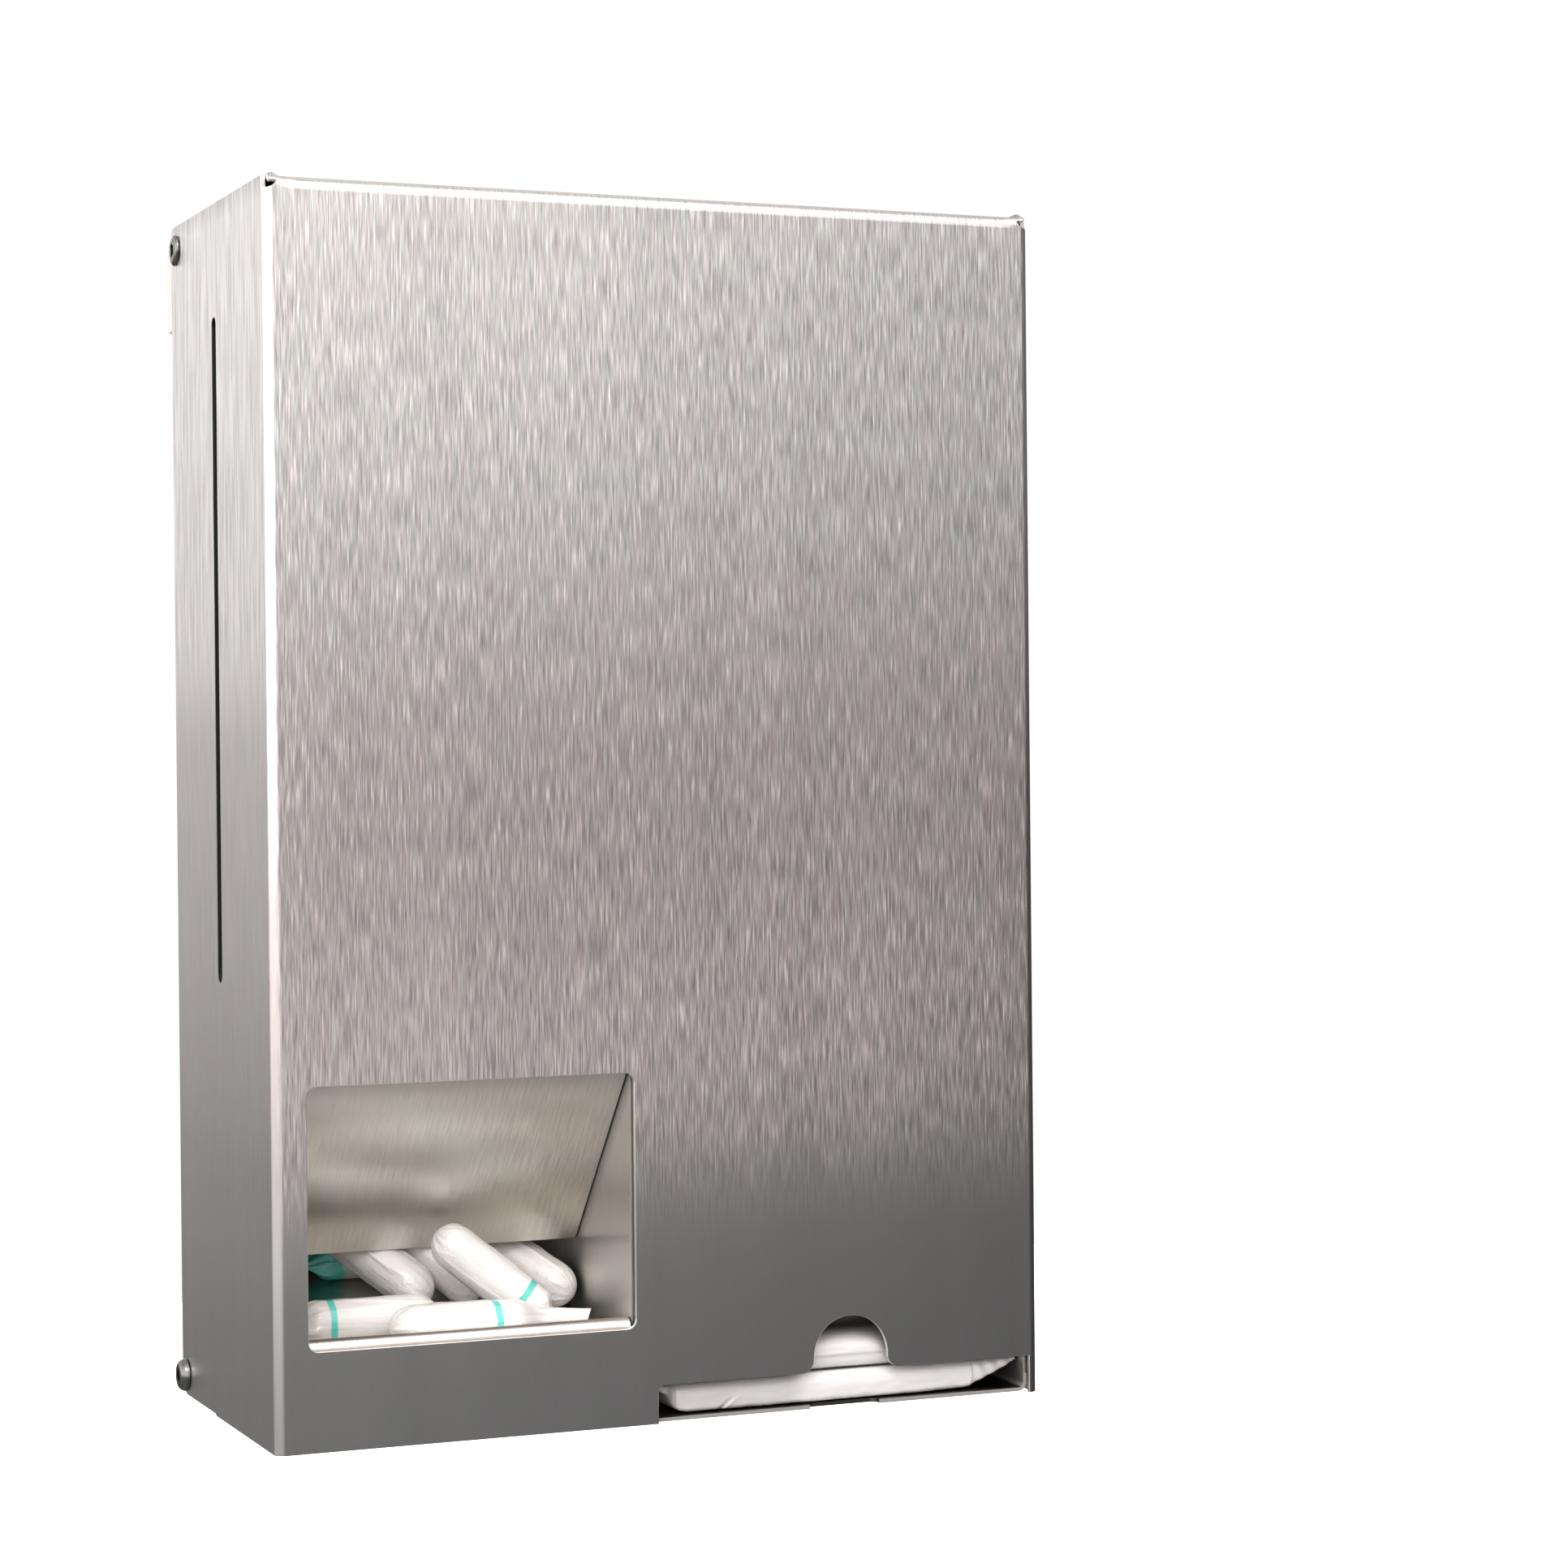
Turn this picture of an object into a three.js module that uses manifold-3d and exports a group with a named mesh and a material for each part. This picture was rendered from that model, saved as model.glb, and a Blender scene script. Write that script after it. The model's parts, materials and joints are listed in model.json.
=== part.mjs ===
// Wall-hung tampon and pad dispenser in folded stainless sheet, millimetres, +Z up, front towards -Y.
// The working coordinates below run from the lower left corner of the front panel:
// x to the right, y from the front face towards the wall, z up. The last group moves the origin to the
// middle of the wall face of the hanging rail.
import * as THREE from 'three';
import { mergeVertices } from 'three/addons/utils/BufferGeometryUtils.js';
import Module from 'manifold-3d';

const wasm = await Module();
wasm.setup();

// ---------------------------------------------------------------- driving dimensions
const W = 252.6;              // width over the cover
const D = 118.4;              // depth of the cover
const H = 380;                // height of the cover
const T = 1.5;                // cover and back sheet
const TI = 1.2;               // inner sheets
const R_OUT = 3.0;            // outside bend radius of the cover
const SEG = 6;                // facets on a quarter bend

const WINDOW = { x0: 10.3, x1: 114.1, z0: 30.1, z1: 109.1, r: 3.0 };
const PAD_CUT = { x0: 121.3, x1: 249.3, z1: 12.0, r: 2.2 };
const NOTCH = { x: 186.4, top: 29.3, r: 12.7, flare: 4.0 };
const VIEW_SLOT = { y: 62.4, w: 5.2, z0: 137.3, z1: 344.6 };

const PIVOT = { y: 111.7, z: 7.2 };       // lower screws, the hinge line of the cover
const CLAMP = { y: 111.0, z: 372.0 };     // upper screws
const SHANK_D = 6.0;                      // M6
const COVER_HOLE = 6.8;
const HEAD_D = 10.5;
const HEAD_H = 3.3;

const RAIL_Z0 = 346.6;
const RAIL_Z1 = 374.6;
const WALL_Y = 128.4;                     // wall plane: 10 mm behind the cover's rear edge
const LIP_TOP = RAIL_Z0 + 10.4;

const FLOOR = [[7.3, 22.6], [62, 27.85], [113.4, 48.4]];   // tampon tray floor, sheet centre line (y, z)
const LIP_Z = 33.2;                       // top of the rolled front lip

const PAD = { x0: 129.2, x1: 231.0, y0: 4.6, y1: 98.0 };
const PAD_PITCH = 12.3;
const PAD_T = 11.9;
const PAD_COUNT = 8;
const PAD_BACK = [0, 0.8, 7.6, 4.2, 6.4, 3.0, 5.2, 3.8];   // how far back each loose packet lies

const TAMPON_R = 7.4;
const TAMPON_CORE = 46;                   // tip to the end of the packed body

// ---------------------------------------------------------------- materials
const mat = (color, roughness, metalness) => new THREE.MeshStandardMaterial({ color, roughness, metalness });
const BRUSHED = () => mat(0xb9b6b3, 0.32, 1.0);
const INNER = () => mat(0xc3beb4, 0.22, 1.0);
const SCREW = () => mat(0xc4c4c2, 0.18, 1.0);
const ALU = () => mat(0xa9abad, 0.4, 1.0);
const NYLON = () => mat(0xf1f0ea, 0.5, 0.0);
const RUBBER = () => mat(0x2a2b2c, 0.75, 0.0);
const WRAP = () => mat(0xf6f4f1, 0.25, 0.0);
const FILM = () => mat(0xe9e8ec, 0.3, 0.0);

// ---------------------------------------------------------------- solids
function solid(geometry) {
  const g = geometry.index ? geometry.toNonIndexed() : geometry.clone();
  g.deleteAttribute('normal');
  g.deleteAttribute('uv');
  const m = mergeVertices(g, 1e-4);
  return new wasm.Manifold(new wasm.Mesh({
    numProp: 3,
    vertProperties: new Float32Array(m.attributes.position.array),
    triVerts: new Uint32Array(m.index.array),
  }));
}
function toGeometry(manifold) {
  const m = manifold.getMesh();
  const g = new THREE.BufferGeometry();
  g.setAttribute('position', new THREE.BufferAttribute(new Float32Array(m.vertProperties), 3));
  g.setIndex(new THREE.BufferAttribute(new Uint32Array(m.triVerts), 1));
  g.computeVertexNormals();
  return g;
}
const AXES = {
  x: new THREE.Matrix4().makeBasis(new THREE.Vector3(0, 1, 0), new THREE.Vector3(0, 0, 1), new THREE.Vector3(1, 0, 0)),
  y: new THREE.Matrix4().makeBasis(new THREE.Vector3(1, 0, 0), new THREE.Vector3(0, 0, 1), new THREE.Vector3(0, -1, 0)),
  z: new THREE.Matrix4(),
};
// prism of a flat outline: along x the outline is (y, z), along y it is (x, z), along z it is (x, y)
function prism(axis, outline, from, to) {
  const shape = outline instanceof THREE.Shape ? outline : new THREE.Shape(outline.map((p) => new THREE.Vector2(p[0], p[1])));
  const g = new THREE.ExtrudeGeometry(shape, { depth: to - from, bevelEnabled: false, curveSegments: 8 });
  g.translate(0, 0, axis === 'y' ? -to : from);
  g.applyMatrix4(AXES[axis]);
  return solid(g);
}
const box = (x0, x1, y0, y1, z0, z1) => {
  const g = new THREE.BoxGeometry(x1 - x0, y1 - y0, z1 - z0);
  g.translate((x0 + x1) / 2, (y0 + y1) / 2, (z0 + z1) / 2);
  return solid(g);
};
// rod along an axis through a point
function rod(axis, c, from, to, d, n = 20) {
  const pts = [];
  for (let i = 0; i < n; i++) {
    const a = (2 * Math.PI * (i + 0.5)) / n;
    pts.push([c[0] + (d / 2) * Math.cos(a), c[1] + (d / 2) * Math.sin(a)]);
  }
  return prism(axis, pts, from, to);
}
function roundRect(x0, x1, y0, y1, r, n = 4) {
  const pts = [];
  const corner = (cx, cy, a0) => {
    for (let i = 0; i <= n; i++) {
      const a = a0 + (Math.PI / 2) * (i / n);
      pts.push([cx + r * Math.cos(a), cy + r * Math.sin(a)]);
    }
  };
  corner(x1 - r, y1 - r, 0);
  corner(x0 + r, y1 - r, Math.PI / 2);
  corner(x0 + r, y0 + r, Math.PI);
  corner(x1 - r, y0 + r, 1.5 * Math.PI);
  return pts;
}
// outline of a bent sheet from its centre line: each inner corner is rounded to centre radius rc
function sheetOutline(path, t, rc, n = SEG) {
  const line = [];
  const V = (p) => new THREE.Vector2(p[0], p[1]);
  for (let i = 0; i < path.length; i++) {
    const p = V(path[i]);
    if (i === 0 || i === path.length - 1) {
      const q = i === 0 ? V(path[1]).sub(p) : p.clone().sub(V(path[i - 1]));
      q.normalize();
      line.push({ p, n: new THREE.Vector2(-q.y, q.x) });
      continue;
    }
    const r = Array.isArray(rc) ? rc[i - 1] : rc;
    const a = p.clone().sub(V(path[i - 1])).normalize();
    const b = V(path[i + 1]).sub(p).normalize();
    const turn = Math.atan2(a.x * b.y - a.y * b.x, a.dot(b));
    const cut = r * Math.tan(Math.abs(turn) / 2);
    const start = p.clone().addScaledVector(a, -cut);
    const s = Math.sign(turn);
    const centre = start.clone().add(new THREE.Vector2(-a.y, a.x).multiplyScalar(s * r));
    const m = Math.max(2, Math.round((n * Math.abs(turn)) / (Math.PI / 2)));
    for (let k = 0; k <= m; k++) {
      const ang = (turn * k) / m;
      const dir = new THREE.Vector2(a.x * Math.cos(ang) - a.y * Math.sin(ang), a.x * Math.sin(ang) + a.y * Math.cos(ang));
      const nn = new THREE.Vector2(-dir.y, dir.x);
      line.push({ p: centre.clone().addScaledVector(nn, -s * r), n: nn });
    }
  }
  const left = line.map((q) => [q.p.x + (q.n.x * t) / 2, q.p.y + (q.n.y * t) / 2]);
  const right = line.map((q) => [q.p.x - (q.n.x * t) / 2, q.p.y - (q.n.y * t) / 2]);
  return left.concat(right.reverse());
}
const sheet = (axis, path, t, rc, from, to) => prism(axis, sheetOutline(path, t, rc), from, to);

const model = new THREE.Group();
const shift = new THREE.Group();
const CX = W / 2;
const MOUNT_Z = (RAIL_Z0 + RAIL_Z1) / 2;
shift.position.set(-CX, -WALL_Y, -MOUNT_Z);
model.add(shift);
function add(name, geometry, material, parent = shift) {
  const mesh = new THREE.Mesh(geometry instanceof wasm.Manifold ? toGeometry(geometry) : geometry, material);
  mesh.name = name;
  parent.add(mesh);
  return mesh;
}

// ---------------------------------------------------------------- front cover: front, two sides and top from one blank
{
  const quarter = (cx, cy, r, a0, a1, n = SEG) => {
    const pts = [];
    for (let i = 0; i <= n; i++) {
      const a = a0 + ((a1 - a0) * i) / n;
      pts.push([cx + r * Math.cos(a), cy + r * Math.sin(a)]);
    }
    return pts;
  };
  // shell(inset): plan outline with rounded front corners, met by a side profile with a rounded top front edge
  const shell = (o, r, back, low, top) => {
    const plan = [
      [W - o, back],
      [o, back],
      ...quarter(o + r, o + r, r, Math.PI, 1.5 * Math.PI),
      ...quarter(W - o - r, o + r, r, 1.5 * Math.PI, 2 * Math.PI),
    ];
    const side = [
      [back, low],
      [back, top],
      ...quarter(o + r, top - r, r, 0.5 * Math.PI, Math.PI),
      [o, low],
    ];
    return prism('z', plan, low - 1, top + 1).intersect(prism('x', side, -1, W + 1));
  };
  const outer = shell(0, R_OUT, D, 0, H);
  const inner = shell(T, R_OUT - T, D + 10, -5, H - T);
  let cover = outer.subtract(inner);

  // window
  cover = cover.subtract(prism('y', roundRect(WINDOW.x0, WINDOW.x1, WINDOW.z0, WINDOW.z1, WINDOW.r), -2, T + 1));
  // pad opening with the thumb notch flaring into its top edge
  {
    const { x, top, r, flare } = NOTCH;
    const zc = top - r;
    const z1 = PAD_CUT.z1;
    const pts = [[PAD_CUT.x0, -5], [PAD_CUT.x1, -5], [PAD_CUT.x1, z1]];
    pts.push([x + r + flare, z1]);
    for (let i = 1; i < 6; i++) {
      const a = 1.5 * Math.PI - (Math.PI / 2) * (i / 6);
      pts.push([x + r + flare + flare * Math.cos(a), z1 + flare + flare * Math.sin(a)]);
    }
    for (let i = 0; i <= 16; i++) {
      const a = (Math.PI * i) / 16;
      pts.push([x + r * Math.cos(a), zc + r * Math.sin(a)]);
    }
    for (let i = 5; i > 0; i--) {
      const a = 1.5 * Math.PI + (Math.PI / 2) * (i / 6);
      pts.push([x - r - flare + flare * Math.cos(a), z1 + flare + flare * Math.sin(a)]);
    }
    pts.push([x - r - flare, z1]);
    for (let i = 0; i <= 4; i++) {
      const a = 0.5 * Math.PI + (Math.PI / 2) * (i / 4);
      pts.push([PAD_CUT.x0 + PAD_CUT.r + PAD_CUT.r * Math.cos(a), z1 - PAD_CUT.r + PAD_CUT.r * Math.sin(a)]);
    }
    cover = cover.subtract(prism('y', pts, -2, T + 1));
  }
  // filling-level slots, one in each side
  for (const [a, b] of [[-1, T + 1], [W - T - 1, W + 1]]) {
    cover = cover.subtract(prism('x', roundRect(VIEW_SLOT.y - VIEW_SLOT.w / 2, VIEW_SLOT.y + VIEW_SLOT.w / 2, VIEW_SLOT.z0, VIEW_SLOT.z1, VIEW_SLOT.w / 2 - 0.01), a, b));
  }
  // rear lower corners rounded about the pivot, bottom edge stepped up behind y = 74
  const rc = D - PIVOT.y - 0.1;
  const foot = [[D + 2, -2], [D + 2, PIVOT.z]];
  for (let i = 0; i <= 6; i++) {
    const a = -(Math.PI / 2) * (i / 6);
    foot.push([PIVOT.y + rc * Math.cos(a), PIVOT.z + rc * Math.sin(a)]);
  }
  foot.push([74, PIVOT.z - rc], [74, -2]);
  cover = cover.subtract(prism('x', foot, -1, W + 1));
  // rear upper corners
  const crown = [[D + 2, H + 2], [D - 3, H + 2]];
  for (let i = 0; i <= 4; i++) {
    const a = Math.PI / 2 - (Math.PI / 2) * (i / 4);
    crown.push([D - 3 + 3 * Math.cos(a), H - 3 + 3 * Math.sin(a)]);
  }
  crown.push([D + 2, H - 3]);
  cover = cover.subtract(prism('x', crown, -1, W + 1));
  // pivot holes, open slots for the clamp screws
  cover = cover.subtract(rod('x', [PIVOT.y, PIVOT.z], -1, T + 1, COVER_HOLE)).subtract(rod('x', [PIVOT.y, PIVOT.z], W - T - 1, W + 1, COVER_HOLE));
  const open = [];
  for (let i = 0; i <= 8; i++) {
    const a = Math.PI / 2 + Math.PI * (i / 8);
    open.push([CLAMP.y + (COVER_HOLE / 2) * Math.cos(a), CLAMP.z + (COVER_HOLE / 2) * Math.sin(a)]);
  }
  open.push([D + 2, CLAMP.z - COVER_HOLE / 2], [D + 2, CLAMP.z + COVER_HOLE / 2]);
  cover = cover.subtract(prism('x', open, -1, T + 1)).subtract(prism('x', open, W - T - 1, W + 1));
  // corner reliefs where the top bend meets the side bends, and the joint line between top and sides
  for (const s of [0, 1]) {
    const m = (a, b) => (s ? [W - b, W - a] : [a, b]);
    cover = cover.subtract(box(...m(-1, T + 0.25), -1, R_OUT + 0.05, 375.3, H + 2));
    cover = cover.subtract(rod('y', [s ? W - 3.1 : 3.1, 376.5], -1, R_OUT, 4.2, 16));
    cover = cover.subtract(box(...m(T, T + 0.25), R_OUT - 0.2, D + 1, H - T - 0.5, H + 2));
  }
  // the top bend swells a little at both ends
  for (const s of [0, 1]) {
    const arc = [];
    for (let i = 0; i <= 10; i++) {
      const a = Math.PI * (1 - i / 10);
      arc.push([3.1 + 3.0 * Math.cos(a), H - 2.1 + 3.0 * Math.sin(a)]);
    }
    const low = [];
    for (let i = 0; i <= 10; i++) {
      const a = Math.PI * (i / 10);
      low.push([3.1 + 1.7 * Math.cos(a), H - 2.3 + 1.7 * Math.sin(a)]);
    }
    const x0 = s ? W - 5.6 : T + 0.35;
    const x1 = s ? W - T - 0.35 : 5.6;
    const bead = prism('x', arc.concat(low), x0, x1).intersect(box(x0 - 1, x1 + 1, -1, 5.6, H - 2.0, H + 2));
    cover = cover.add(bead);
  }
  add('front_cover', cover, BRUSHED());
}

// ---------------------------------------------------------------- back plate with side flanges
const backHoles = [];
const rivets = [];
const rivet = (name, x, z, hook = false) => {
  rivets.push({ name, x, z, hook });
  backHoles.push([x, z, 3.8]);
};
rivet('rivet_hopper_low', 13.5, 80);
rivet('rivet_hopper_mid', 13.5, 200);
rivet('rivet_hopper_top', 13.5, 335);
rivet('rivet_magazine_low', 124.5, 80);
rivet('rivet_magazine_mid', 124.5, 200);
rivet('rivet_magazine_top', 124.5, 335);
rivet('rivet_base', 80, 9);
rivet('rivet_magazine_foot_left', 160, 9);
rivet('rivet_magazine_foot_right', 226, 9);
rivet('rivet_hook_left_outer', 47, 365.5, true);
rivet('rivet_hook_left_inner', 63, 365.5, true);
rivet('rivet_hook_right_inner', W - 63, 365.5, true);
rivet('rivet_hook_right_outer', W - 47, 365.5, true);
const BUFFERS = [['wall_buffer_left', 45], ['wall_buffer_right', W - 45]];
const BUFFER_Z = 22;
for (const b of BUFFERS) backHoles.push([b[1], BUFFER_Z, 6.6]);
{
  let back = sheet('z', [[3.35, 98], [3.35, 117.45], [W - 3.35, 117.45], [W - 3.35, 98]], T, 2.0, 1.0, 377.3);
  for (const [x, z, d] of backHoles) back = back.subtract(rod('y', [x, z], 115, 120, d, 12));
  for (const p of [PIVOT, CLAMP]) {
    back = back.subtract(rod('x', [p.y, p.z], 1, 6, 6.6)).subtract(rod('x', [p.y, p.z], W - 6, W - 1, 6.6));
  }
  add('back_plate', back, BRUSHED());
}

// ---------------------------------------------------------------- hopper for the tampons
const hopperSlot = (a, b) => prism('x', roundRect(57.7, 67.1, 135, 347, 4.69), a, b);
{
  let side = sheet('z', [[20, 115.8], [5.4, 115.8], [5.4, 2.4]], TI, 1.8, 2, 352);
  side = side.subtract(box(0, 25, 103, 118, 0, 15)).subtract(hopperSlot(3, 8));
  for (const r of rivets.filter((q) => q.x === 13.5)) side = side.subtract(rod('y', [r.x, r.z], 114, 118, 3.8, 12));
  add('hopper_side', side, INNER());

  let front = sheet('x', [[3.5, 352], [3.5, 109.9], [53.0, 52.3]], TI, 2.4, 6.5, 113.0);
  front = front.add(box(6.5, 7.7, 2.9, 18, 118, 352)).add(box(111.8, 113.0, 2.9, 18, 118, 352));
  add('hopper_front', front, INNER());

  const lip = LIP_Z - TI / 2;
  const tray = sheet('x', [[2.5, 4], [2.5, lip], [7.3, lip], ...FLOOR, [113.4, 60]], TI, [2.39, 2.39, 1.8, 6.0, 1.8], 6.5, 113.0);
  add('tampon_tray', tray, INNER());

  let base = sheet('x', [[4.9, 18], [4.9, 0.9], [115.8, 0.9], [115.8, 15]], TI, 1.8, 6.5, 113.0);
  base = base.subtract(box(6, 22, 112, 118, -1, 17));
  base = base.subtract(rod('y', [80, 9], 114, 118, 3.8, 12));
  add('base_plate', base, INNER());
}

// ---------------------------------------------------------------- magazine for the pads
{
  const xl = 114.1;
  const xr = 248.9;
  let mag = sheet('y', [[xl, 352], [xl, 0.8], [xr, 0.8], [xr, 352]], TI, 2.4, 2.4, 97.2);
  mag = mag.add(sheet('z', [[xl, 90], [xl, 115.8], [131, 115.8]], TI, 1.8, 15, 352));
  mag = mag.add(box(119.5, 245.5, 96, 108, 0.2, 1.4));
  mag = mag.add(sheet('x', [[100, 0.8], [115.8, 0.8], [115.8, 14]], TI, 1.8, 140, 240));
  mag = mag.add(sheet('z', [[124, 3.0], [xl, 3.0], [xl, 20]], TI, 1.8, 14, 352));
  mag = mag.add(sheet('z', [[xr, 20], [xr, 3.0], [241, 3.0]], TI, 1.8, 14, 352));
  mag = mag.subtract(hopperSlot(246, 252));
  // finger notch in the front edge of the floor
  mag = mag.subtract(prism('z', roundRect(173.2, 197.4, -5, 5.8, 2.6), -2, 3));
  for (const r of rivets.filter((q) => q.x === 124.5 || q.x === 160 || q.x === 226)) mag = mag.subtract(rod('y', [r.x, r.z], 114, 118, 3.8, 12));
  add('pad_magazine', mag, INNER());
}

// ---------------------------------------------------------------- hanging rail, end caps, hooks, buffers
{
  let rail = sheet('x', [[122.05, LIP_TOP], [122.05, RAIL_Z0 + 0.75], [127.65, RAIL_Z0 + 0.75], [127.65, RAIL_Z1 - 0.75], [119.0, RAIL_Z1 - 0.75]], T, 2.6, 2.9, W - 2.9);
  for (const x of [CX - 80, CX + 80]) rail = rail.subtract(prism('y', roundRect(x - 6, x + 6, MOUNT_Z - 2.75, MOUNT_Z + 2.75, 2.74), 125, 130));
  add('wall_rail', rail, BRUSHED());

  for (const side of ['left', 'right']) {
    const m = (a, b) => (side === 'left' ? [a, b] : [W - b, W - a]);
    const cap = prism('x', roundRect(119.3, 128.3, RAIL_Z0 + 0.1, RAIL_Z1 - 0.1, 3.4), ...m(0.6, 2.6));
    const plug = box(...m(2.0, 12), 123.2, 126.5, RAIL_Z0 + 2.8, RAIL_Z1 - 2.8);
    add(`rail_cap_${side}`, cap.add(plug), NYLON());
  }
  for (const side of ['left', 'right']) {
    const x0 = side === 'left' ? 40 : W - 70;
    let hook = sheet('x', [[119.25, 371.5], [119.25, 358.15], [125.05, 358.15], [125.05, 350]], T, 1.6, x0, x0 + 30);
    for (const r of rivets.filter((q) => q.hook)) hook = hook.subtract(rod('y', [r.x, r.z], 117, 121, 3.8, 12));
    add(`hanging_hook_${side}`, hook, BRUSHED());
  }
  for (const [name, x] of BUFFERS) {
    const p = [[0, 0], [10.2, 0], [11, 0.8], [11, 9.1], [10.6, 9.9], [3, 9.9], [3, 12.2], [4.0, 12.6], [2.6, 15.2], [0, 15.2]];
    const g = new THREE.LatheGeometry(p.map((q) => new THREE.Vector2(q[0], q[1])), 28);
    g.rotateX(Math.PI);                       // profile height runs from the wall towards the front
    add(name, solid(g).translate([x, WALL_Y, BUFFER_Z]), RUBBER());
  }
}

// ---------------------------------------------------------------- screws, washers, nuts
{
  const profile = (pts, n) => {
    const g = new THREE.LatheGeometry(pts.map((q) => new THREE.Vector2(q[0], q[1])), n);
    g.rotateZ(Math.PI / 2);                   // lathe height now runs towards -X
    return solid(g);
  };
  const place = (s, side, p) => (side === 'left' ? s : s.mirror([1, 0, 0])).translate([side === 'left' ? 0 : W, p.y, p.z]);
  const spots = [
    ['pivot', 'left', PIVOT], ['pivot', 'right', PIVOT],
    ['clamp', 'left', CLAMP], ['clamp', 'right', CLAMP],
  ];
  for (const [kind, side, p] of spots) {
    const rh = HEAD_D / 2;
    const base = 0.3;
    const pts = [[0, -9.7], [2.6, -9.7], [3.0, -9.3], [3.0, base], [rh - 0.1, base], [rh, base + 0.35]];
    for (let i = 1; i <= 7; i++) {
      const a = (Math.PI / 2) * (i / 7);
      const r = 2.9 + (rh - 2.9) * Math.cos(a);
      pts.push([r, base + 0.35 + (HEAD_H - 0.35) * Math.sin(a)]);
    }
    pts.push([0, base + HEAD_H]);
    let s = profile(pts, 28);
    const hex = [];
    for (let i = 0; i < 6; i++) hex.push([(4.0 / Math.sqrt(3)) * Math.cos((Math.PI / 3) * i), (4.0 / Math.sqrt(3)) * Math.sin((Math.PI / 3) * i)]);
    s = s.subtract(prism('x', hex, -base - HEAD_H - 1, -base - HEAD_H + 2.0));
    add(`${kind}_screw_${side}`, place(s, side, p), SCREW());

    const ring = (ri, ro, x0, x1, n) => rod('x', [0, 0], x0, x1, 2 * ro, n).subtract(rod('x', [0, 0], x0 - 1, x1 + 1, 2 * ri, n));
    add(`${kind}_washer_${side}`, place(ring(3.4, 6.2, 1.8, 2.3, 24), side, p), NYLON());
    const nut = profile([[3.3, -8.8], [4.4, -8.8], [4.7, -8.5], [4.7, -4.4], [3.3, -4.4], [3.3, -8.8]], 20);
    add(`${kind}_nut_${side}`, place(nut, side, p), SCREW());
  }
}

// ---------------------------------------------------------------- blind rivets
for (const r of rivets) {
  const y0 = r.hook ? 120.3 : 118.5;          // underside of the dome
  const y1 = r.hook ? 116.4 : 114.9;          // face of the formed bulb
  const len = y0 - y1;
  const p = [[0, 1.3], [1.2, 1.22], [2.3, 0.85], [3.1, 0], [1.6, 0], [1.6, -len], [2.5, -len - 0.4], [2.5, -len - 1.6], [0, -len - 2.0]];
  const g = new THREE.LatheGeometry(p.reverse().map((q) => new THREE.Vector2(q[0], q[1])), 12);
  add(r.name, solid(g).translate([r.x, y0, r.z]), ALU());
}

// ---------------------------------------------------------------- pads, a stack of film-wrapped packets
for (let i = 1; i <= PAD_COUNT; i++) {
  const z0 = i === 1 ? 1.75 : 11.5 + (i - 2) * PAD_PITCH;
  const z1 = i === 1 ? 11.15 : z0 + PAD_T;
  const zm = (z0 + z1) / 2;
  const back = PAD_BACK[i - 1];
  const section = roundRect(PAD.y0 + back, PAD.y1 + back, z0, z1, 4.2, 4);
  let pad = prism('x', section, PAD.x0, PAD.x1);
  // flat ends of the wrapper
  const fin = (pts) => prism('z', pts.map(([x, y]) => [x, y + back]), zm - 1.0, zm + 1.0);
  pad = pad.add(fin([[121.8, 14], [130, 8], [130, 94], [121.8, 90]]));
  pad = pad.add(fin([[230, 8], [246.6, 5.4], [246.6, 92], [230, 94]]));
  add(`pad_${i}`, pad, FILM());
}

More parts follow.
